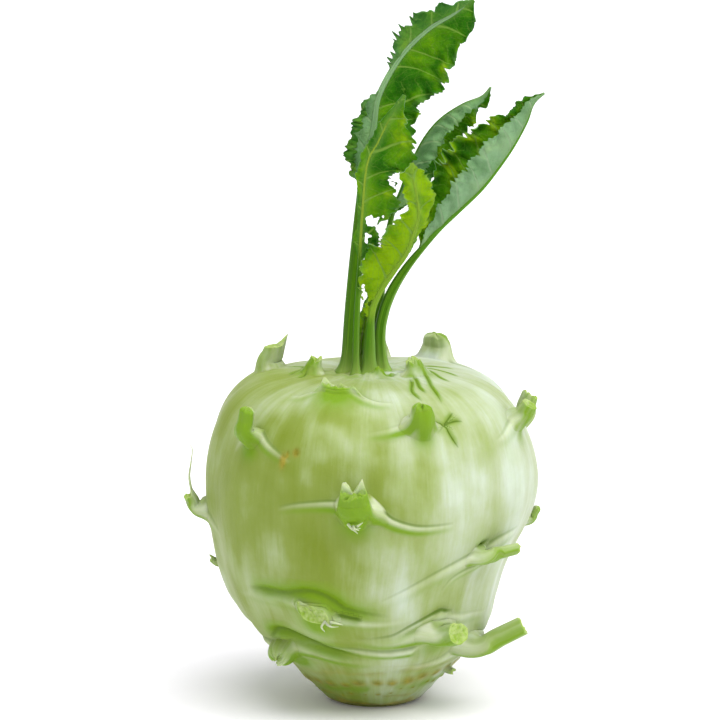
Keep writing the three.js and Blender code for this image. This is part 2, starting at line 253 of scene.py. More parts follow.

# Lips raised on the skin. Each starts at a cut stalk and runs over the skin beside it. Its row has its
# lift, its width, how deep a crease is cut over it (which also sets how much painted shade darkens that
# crease), how dark the painted shade line along its upper edge is, how green its underside is (partly its
# own green, partly painted shade under the lip) and how pale its top is, and its points, in millimetres
# sideways and up from the stalk's middle.
LIPS = {
    "front_middle": [
        (0.5, 1.8, 0.15, 0.7, 1.1, 0.8, [(-3, 0.8), (-6, 1.4), (-11, 1), (-17, 0), (-22, -1.5)]),
        (1, 1.8, 0.25, 1, 1.3, 1.2, [(3, 1.5), (7, -1), (10, -3.2), (15, -5), (20, -5.6), (28, -5.6)]),
    ],
    "front_right_high": [
        (0.9, 2, 0, 0.1, 1.3, 0.3, [(-2, 1), (-6, -0.4), (-10.5, -1.4), (-15, -2)]),
        (1, 2.4, 0.2, 0.2, 0.6, 0.7, [(2, 1), (5.5, -0.5), (9, -2)]),
    ],
    "front_left_high": [
        (1, 1.8, 0.2, 0.7, 1, 1, [(2.5, 1), (5.5, -1.2), (9.5, -3.2), (14, -5)]),
        (0.8, 2.4, 0, 0.1, 0.4, 0.6, [(-2, -0.5), (-4.5, -2), (-6.5, -5)]),
    ],
    "front_crown": [
        (0.8, 2.4, 0.2, 0.4, 0.9, 0.9, [(4, 0.4), (7.5, -2.5), (10.5, -4), (14, -4.5)]),
        (0.7, 2.4, 0.1, 0.2, 0.6, 0.6, [(-4, 0.4), (-6.5, -1.2), (-9, -3.5), (-12, -4)]),
    ],
    "right_high": [
        (1.2, 2.4, 0.2, 0.4, 0.4, 1, [(-2, -0.2), (-5.5, -1.4), (-9, -3), (-12.5, -4)]),
        (1, 2.4, 0.3, 0.5, 0.5, 0.7, [(2, -0.4), (5, -1.6), (11, -2)]),
    ],
    "left_middle": [
        (1.1, 2.4, 0.2, 0.3, 0.7, 0.8, [(1.5, 0), (6, -1.5), (11, -3.6), (16, -5.5)]),
        (1.2, 2.4, 0.3, 0.5, 0.7, 0.8, [(-1.5, -0.4), (-5, -2), (-13, -3)]),
    ],
    "right_middle": [
        (0.9, 2.8, 0.1, 0.5, 0.25, 0.5, [(-2, -0.4), (-8, -2), (-15, -4.5), (-22, -8), (-30, -12)]),
        (0.6, 1.6, 0.2, 0.5, 0.7, 0.4, [(7, -2), (2, -3.2), (-3, -4), (-8, -6), (-10.5, -10)]),
        (1, 2.4, 0.3, 0.5, 0.5, 0.8, [(6, 1), (12, 3), (18, 4)]),
    ],
    "front_low": [
        (0.8, 2.6, 0, 0, 0.4, 0.5, [(-4, 2), (-9, 2.2), (-14.5, 1.4), (-21, 1.2), (-27, 0)]),
        (0.9, 2, 0.1, 0, 0.3, 1, [(4, -1.5), (7, -3), (10, -4), (13.5, -4.8), (19, -5), (25, -4.4)]),
    ],
    "left_base": [
        (0.9, 3, 0.3, 0, 1.3, 0.4, [(2, 1.2), (5, 1.8), (9, 0.4), (13, -1.2), (18.5, -2.3), (26, -3.3)]),
        (1.2, 2.4, 0.4, 0.5, 0.5, 0.6, [(-2, 1), (-7, 1), (-14, -1)]),
    ],
    "right_low": [
        (1.9, 3, 0.2, 0.2, 1.2, 0.3, [(-2, 0), (-7, -0.8), (-12.5, -1.8), (-19, -2.8), (-27, -2.4)]),
        (0.4, 1.6, 0.3, 1, 0.6, 0.4, [(-2.5, 5), (-10, 1.6), (-15, -1), (-21, -2)]),
        (0.9, 2.2, 0.1, 0.2, 0.4, 1, [(-2, 4.4), (3.5, 3.4), (9, 2), (19, 1.8)]),
        (0.9, 1.8, 0.2, 0.3, 0.7, 0.8, [(-9.5, -7), (-17.5, -7.4), (-25.5, -7), (-35.5, -5.6), (-45, -5)]),
    ],
    "right_long": [
        (1.4, 3, 0.1, 0.2, 0.5, 0.9, [(-2, -0.6), (-6, -4), (-11, -7), (-18, -8.5), (-26, -8.5)]),
        (1.2, 2.4, 0.4, 0.5, 0.6, 0.7, [(2, 0), (7, -1), (14, -1)]),
    ],
}
# A stalk at the back has one lip to each side.
for number, name in enumerate(n for n in STUBS if n.startswith(("stub_back", "stub_shoulder_back"))):
    reach = 9 + 5 * math.sin(2.1 * number)
    LIPS[name.removeprefix("stub_")] = [
        (1.1, 2.4, 0.2, 0.6, 1, 0.8, [(-2, 0.4), (-7, -0.6), (-reach - 7, -3)]),
        (1.2, 2.4, 0.2, 0.8, 1, 0.9, [(2, 0.4), (7, -1.6), (12, -3.6), (reach + 13, -4.4)]),
    ]

# Rows of cracks: the stalk, how deep they are, how dark the painted shade along their middle is, how wide
# and how green they are, and the points that each runs through.
CRACKS = [
    ("crown_right", 0.3, 0.65, 0.3, 0.9, [
        [(9, -2.5), (9, -6), (9, -10.5)], [(7, -2), (5.5, -6), (3.5, -11.5)],
        [(4, -2), (0.5, -7), (-0.5, -11.5)], [(0.5, -1.5), (-4.5, -10), (-6.5, -20)],
        [(-6, -4.5), (-8.5, -11), (-8.5, -17.5)], [(-4, -3), (-6.5, -9), (-7, -14)],
    ]),
    ("front_right_high", 0.35, 1, 0.45, 0.5, [
        [(4.4, 1), (7, -1), (8, -4), (9.4, -8)],
    ]),
    ("front_right_high", 0.35, 0.9, 0.45, 0.5, [
        [(6.8, -0.8), (9.4, 1.2), (12, 3)], [(7, -0.6), (11, 0.1), (13.5, -0.5)],
    ]),
    ("crown_left", 0.35, 0.9, 0.45, 0.5, [
        [(-2, 0), (-3, -3.5), (0.5, -7.5)], [(-3, -2), (-7, -4), (-7.5, -9)],
        [(1, -2), (2.6, -4), (3, -6)],
    ]),
    ("right_middle", 0.9, 1, 0.9, 0.5, [
        [(2, 2.6), (0.4, 2), (-1.6, 1)],
    ]),
    ("left_base", 1, 0.75, 1.15, 0.9, [
        [(-1.5, 4.6), (0.5, 6.3), (3, 6.6), (6, 5.7), (9.5, 4), (13.5, 1.8), (17.5, 0.4), (23, -0.4)],
    ]),
    ("front_low", 0.7, 0.45, 1.1, 0.9, [
        [(-19, 3.2), (-13.5, 3.4), (-8.5, 4), (-2.5, 5.6), (1.5, 5), (5, 2.8), (8, 0.2), (13.5, -1.5),
         (20, -2.5)],
    ]),
    ("front_low", 0.5, 1, 0.8, 1, [
        [(6, -1.4), (9, -2.6), (12.5, -3.6)],
    ]),
]

MARKS = []
for short_name, lips in LIPS.items():
    for lift, wide, axil, line, green, pale, offsets in lips:
        if abs(offsets[0][0]) < 3.5:
            # a lip this close to its stalk starts under the stalk's foot
            offsets = [(0.2 * offsets[0][0], offsets[0][1])] + offsets
        MARKS.append(dict(stub="stub_" + short_name, offsets=offsets, lift=lift, wide=wide, axil=axil,
                          line=line, green=green, pale=pale))
for short_name, deep, line, wide, green, runs in CRACKS:
    for offsets in runs:
        MARKS.append(dict(stub="stub_" + short_name, offsets=offsets, deep=deep, line=line, wide=wide,
                          green=green))


def on_skin(stub, offsets):
    """A line over the skin, and its directions along and across it."""
    azimuth, latitude = STUBS[stub]["at"]
    run = Path(offsets).at(np.linspace(0, 1, 70))
    a, s = moved(math.radians(azimuth), share_at(latitude), run[:, 0], run[:, 1])
    points, normals, up = bare_skin(a, s)
    along = unit(np.gradient(points, axis=0))
    across = unit(np.cross(normals, along))
    across *= np.sign((across * up).sum(-1, keepdims=True) + 1e-9)
    return points, along, across


LINES = [(mark, *on_skin(mark["stub"], mark["offsets"])) for mark in MARKS]

# Brown-green scars of the vessels round the root cut: azimuth in degrees, height and size in millimetres.
scar_draw = np.random.default_rng(21)
SCARS = []
for azimuth in np.arange(-180, 180, 12.0):
    level = 9.7 + 2.2 * math.sin(math.radians(azimuth))
    place, shift = azimuth + scar_draw.uniform(-3, 3), scar_draw.uniform(-0.4, 0.5)
    SCARS.append((place, level + shift, scar_draw.uniform(0.95, 1.6)))
    place, shift = azimuth + scar_draw.uniform(-5, 5), scar_draw.uniform(3.4, 4.6)
    SCARS.append((place, level - shift, scar_draw.uniform(0.25, 0.6)))
# Tan spots on the skin: azimuth, latitude, width and height.
BLEMISHES = [(-32.5, 29.5, 0.9, 1.8), (-27.5, 32.5, 0.9, 1), (-31, 31.5, 0.5, 0.9)]
# Broad patches of skin, by azimuth and latitude in degrees, half-sizes in millimetres, and from pale at
# -1 to green. The pale ones on the right-hand side are partly painted light falling from the right.
PATCHES = [
    (3, 27, 4.2, 10, 1.2), (18.5, 28, 1.8, 8, 0.55), (11.5, 29, 2.4, 7, -0.5), (34, 25, 8, 14, -0.9),
    (55, 20, 10, 22, -0.9), (-26, 27, 11, 9, 1.0), (-4, -7, 9, 9, 0.4), (-52, 18, 8, 10, 0.25),
    (-66, 24, 4, 10, -0.3), (-8, 4, 7, 6, 0.4), (-2, 42, 7, 6, -0.3), (40, -18, 11, 13, -0.6),
    (16, -3, 6, 9, 0.35), (-45, -18, 8, 12, -0.5), (-20, -33, 8, 3.5, -0.6), (10, -20, 9, 4, 0.2),
    (-22, 44, 10, 6, 0.8), (85, 15, 10, 16, -0.6), (110, -5, 9, 12, 0.4), (150, 20, 10, 12, 0.5),
    (180, -10, 12, 9, 0.5), (-150, 10, 9, 16, -0.5), (165, -20, 9, 12, -0.4), (-115, 0, 10, 12, 0.4),
    (-160, 35, 8, 9, 0.3), (130, 40, 9, 9, -0.4), (-105, 30, 9, 9, -0.3), (-165, -35, 9, 6, 0.4),
]


def stand_off(flat, azimuth, latitude):
    """Millimetres sideways and up the skin from a place on the bulb, and how close to it a point is."""
    centre, out, rise = bare_skin(np.array(math.radians(azimuth)), np.array(share_at(latitude)))
    gap = flat - centre
    return gap @ np.cross(rise, out), gap @ rise, hump(gap @ out, 0, 9)


def raise_to(values, amount, where=...):
    """Raise values to an amount, where they are under it."""
    values[where] = np.maximum(values[where], amount)


def relief(azimuth, share):
    """How far the skin stands off the smooth bulb, how green, pale and tan it is there, where its scars are
    dark, and where painted shade darkens its creases.
    """
    point, _, _ = bare_skin(azimuth, share)
    shape = azimuth.shape
    flat = point.reshape(-1, 3)
    height = np.zeros(len(flat))
    green, pale, dark_and_shade, tan, shade_line_on = (np.zeros(len(flat)) for _ in range(5))
    shade_line_off = np.full(len(flat), 3.0)
    for mark, line, along, across in LINES:
        lip = "lift" in mark
        reach = 9.0 if lip else 3.0
        near = np.flatnonzero(((flat > line.min(0) - reach) & (flat < line.max(0) + reach)).all(-1))
        if not len(near):
            continue
        gap = flat[near][:, None, :] - line[None]
        nearest = (gap**2).sum(-1).argmin(1)
        gap = gap[np.arange(len(near)), nearest]
        t = nearest / (len(line) - 1)
        over = np.abs((gap * along[nearest]).sum(-1))
        d = (gap * across[nearest]).sum(-1)
        off = np.sqrt(np.maximum((gap**2).sum(-1) - d**2 - over**2, 0))
        fade = hump(over, 0, 1.5) * hump(off, 0, 5)
        if lip:
            fade *= (1 - t) ** 1.1
            wide = mark["wide"] * (1 - 0.4 * t)
            height[near] += mark["lift"] * fade * hump(d, 0, np.where(d < 0, 1.5 * wide, 0.36 * wide))
            height[near] -= 1.1 * mark["axil"] * fade * hump(d, 0.75 * wide, 0.28 * wide)
            height[near] -= 0.25 * mark["green"] * fade * hump(d, -2.2 * wide, 0.8 * wide)
            raise_to(pale, mark["pale"] * fade**0.6 * hump(d, 0, 0.5 * wide), near)
            # painted shade in the crease above the lip, where the bulb bulges over it
            shade = ease(0.1, 0.6, d / wide) * np.exp(-np.maximum(d / wide - 0.6, 0) / 0.9)
            raise_to(dark_and_shade, (0.25 + 0.8 * mark["axil"]) * fade**0.8 * shade, near)
            # greener under the lip: partly the skin's own green, partly painted shade
            raise_to(green, mark["green"] * fade**0.7 * hump(d, -1.05 * wide, 0.6 * wide), near)
            fine, line_wide = d - 0.52 * wide, 0.3
        else:
            fade *= ease(1, 0.7, t) * ease(-0.1, 0.1, t)
            wide = mark["wide"]
            height[near] -= mark["deep"] * fade * hump(d, 0, wide)
            height[near] += 0.35 * mark["deep"] * fade * hump(np.abs(d), 2.2 * wide, wide)
            # painted shade darkens the groove of the crack
            raise_to(dark_and_shade, 0.85 * mark["line"] * fade * hump(d, 0, 1.7 * wide), near)
            raise_to(green, mark["green"] * fade * hump(d, 0, 2.6 * wide), near)
            fine, line_wide = d, 0.42 * wide
        # a fine line of painted shade along the lip's upper edge, or down the middle of a crack
        on = mark["line"] * fade**0.5 * ease(2.6, 1.4, np.abs(fine))
        better = on * hump(fine, 0, 1.2) > shade_line_on[near] * hump(shade_line_off[near], 0, 1.2)
        shade_line_on[near] = np.where(better, on, shade_line_on[near])
        shade_line_off[near] = np.where(better, np.clip(fine * 0.2 / line_wide, -3, 3), shade_line_off[near])
    for stub in STUBS.values():
        x, y, near = stand_off(flat, *stub["at"])
        _, width, depth = stub["size"]
        height += 0.14 * width * near * hump(x, 0, 0.75 * width + 1) * hump(y, -0.25 * width, 0.8 * width)
        # greener on the skin just under each stalk's foot: partly its own green, partly painted shade
        under = near * hump(x, 0, 0.6 * width) * hump(y, -0.55 * depth - 1.6, 0.55 * width)
        raise_to(green, 0.85 * stub["green"] * under)
        # painted shade in the crease just above each stalk's foot
        raise_to(dark_and_shade, 0.3 * near * hump(x, 0, 0.5 * width) * hump(y, 0.5 * depth + 1.4, 0.9))
    a, s = azimuth.reshape(-1), share.reshape(-1)
    z = flat[:, 2]
    # paler on the right-hand side and greener on the left: painted light from the right, on top of tone that
    # differs at random
    tone = 0.22 * waves(flat, 12, 12, 30) + 0.45 * np.cos(a + 1.25)
    smudge = 0.75 + 0.5 * waves(flat, 30, 5, 13)
    for azimuth0, latitude, wide, tall, amount in PATCHES:
        x, y, near = stand_off(flat, azimuth0, latitude)
        strength = 0.5 * smudge if amount > 0 else 0.22 + 0.14 * smudge
        patch = strength * amount * near * hump(x, 0, 1.2 * wide) * hump(y, 0, 1.2 * tall)
        tone += patch
        height -= 0.5 * patch * min(1, 4 / wide)
    ribs = np.stack([np.cos(a) * 42, np.sin(a) * 42, s * 26], -1)
    height += 0.45 * ease(8, 30, z) * ease(92, 84, z) * waves(ribs, 3, 11, 24)
    height += 0.35 * waves(flat, 4, 24, 50)
    # low down the skin lies in soft folds that run round the bulb
    folds = np.stack([a * 9, np.zeros(len(a)), z + 1.5 * np.sin(2 * a + 1)], -1)
    height += 0.35 * ease(4, 12, z) * ease(34, 20, z) * waves(folds, 13, 5, 9)
    # the crown crowds up round the stalks
    from_crown = np.linalg.norm(flat[:, :2] - np.array([-0.5, -1.5]), axis=-1)
    crown = hump(from_crown, 0, 9) * ease(80, 88, z)
    height += crown * (0.7 + 0.6 * waves(flat, 5, 2.6, 5.5))
    raise_to(green, 0.8 * crown * ease(-0.2, 0.8, waves(flat, 6, 3, 7)))
    # torn skin at the front of the stalks' feet
    fringe = hump(flat[:, 0], 2.0, 3.8) * hump(flat[:, 1], -7.8, 1.0) * ease(80, 88, z)
    height += fringe * (1.2 + 1.2 * waves(flat, 16, 1.2, 2.8))
    raise_to(green, fringe)
    tone -= 0.2 * ease(82, 90, z)
    # the trimmed root end is a little ragged, browned at its rim and ringed with scars
    height += 0.22 * hump(z, 3.2, 1.0) * waves(flat, 8, 3, 9) - 0.5 * ease(0.8, 0, z)
    raise_to(tan, 0.9 * ease(2.6, 0.5, z + 0.9 * waves(flat, 9, 3, 9)))
    raise_to(tan, 0.5 * hump(z, 4.2, 0.5) * ease(-0.3, 0.6, waves(flat, 10, 3, 8)))
    raise_to(tan, 0.35 * hump(z, 13 + 1.6 * np.sin(a), 1.6) * ease(-0.4, 0.5, waves(flat, 14, 4, 12)))
    raise_to(green, 0.6 * hump(z, 7 + np.sin(a), 1.5) * ease(-0.5, 0.6, waves(flat, 15, 5, 14)))
    for azimuth0, level, size in SCARS:
        turn = (a - math.radians(azimuth0) + math.pi) % (2 * math.pi) - math.pi
        around = turn * np.hypot(flat[:, 0], flat[:, 1])
        spot = hump(around, 0, 1.2 * size) * hump(z, level, 0.75 * size)
        height += 0.3 * spot
        raise_to(dark_and_shade, 0.6 * spot)
        raise_to(tan, hump(around, 0, 1.4 * size) * hump(z, level - 0.1 * size, 0.8 * size))
    for azimuth0, latitude, wide, tall in BLEMISHES:
        x, y, near = stand_off(flat, azimuth0, latitude)
        raise_to(tan, 1.7 * near * hump(x, 0, wide) * hump(y, 0, tall))
    looks = {"green": green, "pale": pale, "dark_and_shade": dark_and_shade, "tan": tan, "shade_line_on": shade_line_on}
    looks = {k: np.clip(v, 0, 1).reshape(shape) for k, v in looks.items()}
    looks["shade_line_off"] = shade_line_off.reshape(shape)
    looks["tone"] = np.clip(0.5 + 0.5 * tone, 0, 1).reshape(shape)
    return height.reshape(shape), looks


def skin(azimuth, share):
    """Points, normals of the smooth bulb, and looks of the skin."""
    point, normal, _ = bare_skin(azimuth, share)
    height, looks = relief(azimuth, share)
    return point + normal * height[..., None], normal, looks


LOOKS = ("green", "pale", "dark_and_shade", "tan", "shade_line_on", "shade_line_off", "tone", "cut")


# ---------------------------------------------------------------- meshes


def make_piece(name, points, faces, looks, material, node, slots=None):
    """A mesh object from millimetre points, with a look stored at every point, that stands for a CAD node."""
    mesh = bpy.data.meshes.new(name)
    mesh.from_pydata((points * MM).tolist(), [], [list(map(int, f)) for f in faces])
    for key, values in looks.items():
        values = np.asarray(values, float)
        vector = values.ndim == 2
        attribute = mesh.attributes.new(key, "FLOAT_VECTOR" if vector else "FLOAT", "POINT")
        numbers = np.ascontiguousarray(values, np.float32).ravel()
        attribute.data.foreach_set("vector" if vector else "value", numbers)
    mesh.polygons.foreach_set("use_smooth", np.ones(len(mesh.polygons), bool))
    for each in material if isinstance(material, list) else [material]:
        mesh.materials.append(each)
    if slots is not None:
        mesh.polygons.foreach_set("material_index", np.asarray(slots, np.int32))
    mesh.update()
    piece = bpy.data.objects.new(name, mesh)
    bpy.context.scene.collection.objects.link(piece)
    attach(piece, "root")
    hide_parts(node)
    return piece


def ring_faces(rings, sides, first=0):
    """Quads between rings of points that go all the way round."""
    i, j = np.meshgrid(np.arange(rings - 1), np.arange(sides), indexing="ij")
    a, b = first + i * sides + j, first + i * sides + (j + 1) % sides
    return np.stack([a, b, b + sides, a + sides], -1).reshape(-1, 4)


def fan_faces(ring_start, sides, pole, flip=False):
    """Triangles from a ring to a pole."""
    j = np.arange(sides)
    a, b = ring_start + j, ring_start + (j + 1) % sides
    return np.stack([b, a, np.full(sides, pole)] if flip else [a, b, np.full(sides, pole)], -1)


def make_bulb(material):
    u = np.linspace(-math.pi, math.pi, BULB_SIDES, endpoint=False)
    azimuth = u - FRONT_DENSITY * np.sin(u)
    share = np.linspace(0, 1, BULB_RINGS + 1)[:-1]
    a, s = np.meshgrid(azimuth, share)
    side_points, _, looks = skin(a, s)
    # the cut face under the bulb, a little rough, and flat where it stands on the floor
    k = np.linspace(0.06, 0.985, BASE_RINGS)
    edge = side_points[0]
    face = edge[None] * k[:, None, None]
    face[..., 2] = 0.18 * (1 - k[:, None]) * (1 + 0.6 * waves(face, 11, 3, 7))
    points = np.vstack([face.reshape(-1, 3), side_points.reshape(-1, 3), [[0, 0, 0.25]], [[0, 0, 0]]])
    points[-1] = side_points[-1].mean(0)
    count = BASE_RINGS * BULB_SIDES
    faces = list(ring_faces(BASE_RINGS + BULB_RINGS, BULB_SIDES))
    base_pole, crown_pole = len(points) - 2, len(points) - 1
    faces += list(fan_faces(0, BULB_SIDES, base_pole, flip=True))
    faces += list(fan_faces((BASE_RINGS + BULB_RINGS - 1) * BULB_SIDES, BULB_SIDES, crown_pole))
    base_look = {"pale": 0.25, "tan": 0.6, "shade_line_off": 3.0, "tone": 0.3, "cut": 0.6}
    looks["cut"] = np.zeros(a.shape)
    stored = {}
    for key in LOOKS:
        under = base_look.get(key, 0.0)
        above = looks[key]
        stored[key] = np.concatenate([np.full(count, under), above.ravel(), [under], [above[-1].mean()]])
    grain = np.stack([np.cos(a), np.sin(a), s * profile.length / RADIUS], -1).reshape(-1, 3)
    base_grain = face.reshape(-1, 3) / 6
    stored["grain"] = np.vstack([base_grain, grain, [[0, 0, 0]], [[0, 0, grain[-1, 2]]]])
    return make_piece("bulb_skin", points, faces, stored, material, "bulb")


STUB_SIDES = 72
CAP_RINGS = 7
THREAD_RADIUS = 0.42
THREAD_SIDES = 8
THREAD_RINGS = 28


def wing_line(name, x):
    """How far up the skin the foot of a stalk runs, x millimetres to its side."""
    runs = [m["offsets"] for m in MARKS if m["stub"] == name and "lift" in m]
    y = np.zeros_like(x)
    for sign in (-1, 1):
        run = next((r for r in runs if sign * r[1][0] > 0), None)
        if run is not None:
            places = [0] + [abs(p[0]) for p in run]
            levels = [0] + [p[1] for p in run]
            if all(b > a for a, b in zip(places, places[1:])):
                y = np.where(sign * x > 0, np.interp(np.abs(x), places, levels), y)
    return y


def thread_tube(points):
    """Points and faces of a thread that tapers to its end, closed at both ends."""
    sides, rings = THREAD_SIDES, THREAD_RINGS
    curve = Path(points)
    t = np.linspace(0, 1, rings)
    along = curve.along(t)
    first = unit(np.cross(along, [0.3, 0.5, 0.8]))
    second = np.cross(along, first)
    phi = round_angles(sides)[None, :, None]
    thick = THREAD_RADIUS * (1 - 0.8 * t**1.5)[:, None, None]
    body = curve.at(t)[:, None] + thick * (first[:, None] * np.cos(phi) + second[:, None] * np.sin(phi))
    faces = list(ring_faces(rings, sides)) + list(fan_faces((rings - 1) * sides, sides, rings * sides + 1))
    faces += list(fan_faces(0, sides, rings * sides, flip=True))
    return np.vstack([body.reshape(-1, 3), curve.at(np.array([0.0, 1.0]))]), faces


def make_stub(name, spec, material):
    """A cut stalk whose foot spreads into the bulb's skin."""
    length, width, depth = spec["size"]
    seed = sum(ord(c) for c in name)
    azimuth, share = math.radians(spec["at"][0]), share_at(spec["at"][1])
    _, out, up = bare_skin(np.array(azimuth), np.array(share))
    side = np.array([math.cos(azimuth), math.sin(azimuth), 0])
    rise, lean = math.radians(spec["rise"]), math.radians(spec.get("lean", 0))
    aim = unit(out * math.cos(rise) + up * math.sin(rise) + side * math.tan(lean))
    root = skin(np.array([azimuth]), np.array([share]))[0][0]
    sunk = 4.0
    knee = root + out * spec.get("knee", 0.2) * length
    axis = Path([root - out * sunk, knee, knee + aim * 0.4 * length, knee + aim * 0.8 * length])
    top = axis.length - sunk
    phi = round_angles(STUB_SIDES)
    cos, sin = np.cos(phi), np.sin(phi)

    # rings at these heights over the skin, close together at the foot
    heights = np.concatenate([np.linspace(-0.35, 1.5, 16), np.linspace(1.5, max(top, 1.7), 36)[1:]])
    h = heights[:, None]
    t = np.clip(h, 0, None) / heights[-1]
    left, left_fall, right, right_fall = spec["wings"]
    reach, fall = np.where(cos < 0, left, right), np.where(cos < 0, left_fall, right_fall)
    wobble = 1 + 0.04 * np.sin(3 * phi + seed) + 0.025 * np.sin(7 * phi + 2 * seed + 3 * t)
    spread = 1 + spec.get("taper", 0) * (1 - t)
    a = 0.5 * width * spread * wobble + reach * np.exp(-(h + 0.35) / fall)
    skirt = spec.get("skirt", 2.6) * (0.85 - 0.45 * sin)
    b = 0.5 * depth * (0.4 + 0.6 * spread) * wobble + skirt * np.exp(-(h + 0.35) / 1.2)
    knob = spec.get("knob", 0)
    close = np.sqrt(1 - np.clip((h - (heights[-1] - knob)) / max(knob, 0.01), 0, 0.96) ** 2) if knob else 1.0
    channel = 1 - 0.2 * ease(0.5, 2.5, h) * hump(cos, 0.1, 0.5) * (sin > 0) * close**4
    x, y = a * cos * close, b * sin * close * channel
    bend = np.clip(wing_line(name, x), -0.4 * np.abs(x), 0.4 * np.abs(x))
    y = y + bend * ease(0.3, 0.8, np.abs(x) / (0.5 * width + 2.0)) * ease(4, 1.5, h)
    low, low_normal, looks = skin(*moved(azimuth, share, x, y))
    low = low + low_normal * np.broadcast_to(h, x.shape)[..., None]
    where = (sunk + heights) / axis.length
    centre, ahead = axis.at(where)[:, None], axis.along(where)[:, None]
    right_way = unit(side - ahead * (ahead @ side)[..., None])
    over = np.cross(ahead, right_way)
    over = over * np.sign((over * (up - 0.6 * out)).sum(-1, keepdims=True) + 1e-9)
    turn = math.radians(spec.get("twist", 0)) * ease(0, 1.5, h)[..., None]
    right_way, over = (right_way * np.cos(turn) + over * np.sin(turn),
                       over * np.cos(turn) - right_way * np.sin(turn))
    rim_line = np.stack([cos * width * 0.5, sin * depth * 0.5], -1)
    jag = spec["tear"] * (0.55 * waves(rim_line, seed, 0.9, 2.2) + 0.6 * waves(rim_line, seed + 1, 3, 8))
    for place, tall, broad in spec.get("prongs", []):
        jag = jag + tall * hump((phi - place + math.pi) % (2 * math.pi), math.pi, broad)
    jag = jag + spec.get("slant", 0) * depth * 0.5 * sin
    end = ease(0.35, 1.0, t) ** 1.5
    sliver = ease(0.4, 1.5, jag) * ease(0.45, 0.95, t)
    high = centre + x[..., None] * right_way + y[..., None] * over + ahead * (end * jag)[..., None]
    blend = ease(0.2, min(3.0, 0.9 * heights[-1] + 0.4), h)[..., None]
    rings = mix(low, high, blend)

    beyond = ease(0.0, 1.8, np.abs(x) - 0.5 * width)
    body = mix(ease(0.3, 2.4, h), ease(-0.2, 0.5, h), beyond)
    streak = 0.12 * np.sin(5 * phi + seed) + 0.1 * np.sin(9 * phi + 2 * seed)
    # the stalk is greener on its underside and under its wings: partly its own green, partly painted shade
    body_green = mix(spec["green"] * (0.62 - 0.38 * sin + streak), 0.9 * ease(0.0, -0.7, sin), beyond)
    # a painted highlight: paler on the stalk's upper, right-hand flank, where the light falls
    highlight_flank = 0.6 * spec.get("pale", 1) * hump(sin, 0.7, 0.4) * (0.6 + 0.4 * cos)
    body_pale = mix(highlight_flank, ease(-0.3, 0.5, sin), beyond)
    shade = {
        "green": mix(looks["green"], body_green, body) * (1 - 0.7 * sliver),
        "pale": np.maximum(mix(looks["pale"], body_pale, body), 0.7 * sliver),
        "dark_and_shade": looks["dark_and_shade"] * (1 - body) * 0.6,
        "tan": looks["tan"] * (1 - body) * 0.7,
        "shade_line_on": looks["shade_line_on"] * (1 - ease(0.0, 0.8, h)),
        "shade_line_off": looks["shade_line_off"],
        "tone": mix(looks["tone"], 0.45, body),
        "cut": np.broadcast_to(ease(0.95, 1.0, t), x.shape) * (0.4 if knob else spec.get("flesh", 1.0)),
    }
    rim, middle = rings[-1], rings[-1].mean(0)
    caps = []
    for i in range(1, CAP_RINGS + 1):
        k = 1 - i / (CAP_RINGS + 0.6)
        inside = middle + (rim - middle) * k
        rough = (0.15 + 0.35 * spec["tear"]) * waves(inside, seed + 7, 0.8, 2.2) * (0.3 if knob else 1)
        dip = (0.05 if knob else -0.4) * (1 - k * k) * (1 + spec["tear"])
        caps.append(inside + aim * (dip + rough)[:, None])
    rings = np.concatenate([rings, np.array(caps)])
    count = len(rings)
    points = np.vstack([rings.reshape(-1, 3), rings[-1].mean(0)])
    faces = list(ring_faces(count, STUB_SIDES))
    faces += list(fan_faces((count - 1) * STUB_SIDES, STUB_SIDES, len(points) - 1))
    cap_look = {"cut": 0.5 if knob else spec.get("flesh", 1), "dark_and_shade": 0, "tan": 0, "shade_line_on": 0,
     "shade_line_off": 3}
    stored = {}
    for key in LOOKS:
        last = shade[key][-1]
        cap = np.tile(np.full(STUB_SIDES, cap_look[key]) if key in cap_look else last, CAP_RINGS)
        stored[key] = np.clip(np.concatenate([shade[key].ravel(), cap, [cap[-1]]]), -3, 3)
    around, ring_number = np.tile(phi, count), np.repeat(np.arange(count), STUB_SIDES)
    grain = np.stack([np.cos(around) * 0.35, np.sin(around) * 0.35, ring_number / count + seed], -1)
    stored["grain"] = np.vstack([grain, [[0, 0, 1 + seed]]])
    thread_look = {"green": 0.35, "pale": 0.8, "shade_line_off": 3.0, "tone": 0.3}
    for thread in spec.get("fibres", []):
        path = [root + side * p[0] + up * p[1] + out * p[2] for p in thread]
        more, thread_faces = thread_tube(path)
        faces += [[v + len(points) for v in f] for f in thread_faces]
        points = np.vstack([points, more])
        for key in LOOKS:
            stored[key] = np.concatenate([stored[key], np.full(len(more), thread_look.get(key, 0.0))])
        stored["grain"] = np.vstack([stored["grain"], more / 10])
    return make_piece(name + "_cut", points, faces, stored, material, name)


# ---------------------------------------------------------------- leaves

BLADE_ROWS = 290
BLADE_COLUMNS = 46
BLADE_THICK = 0.3
BLADE_END = 0.995
RIB_SIDES = 20
RIB_RINGS = 150
FRONT = np.array([0.0, -1.0, 0.0])
VEIN_LEAN = 0.8  # how far a side vein runs towards the tip for each millimetre that it runs outwards


def half(width, fold, curl, ruffle, veins, teeth, under=(0, 0), roll=(0, 0), holes=()):
    return dict(width=width, fold=fold, curl=curl, ruffle=ruffle, veins=veins, teeth=teeth, under=under,
                roll=roll, holes=holes)


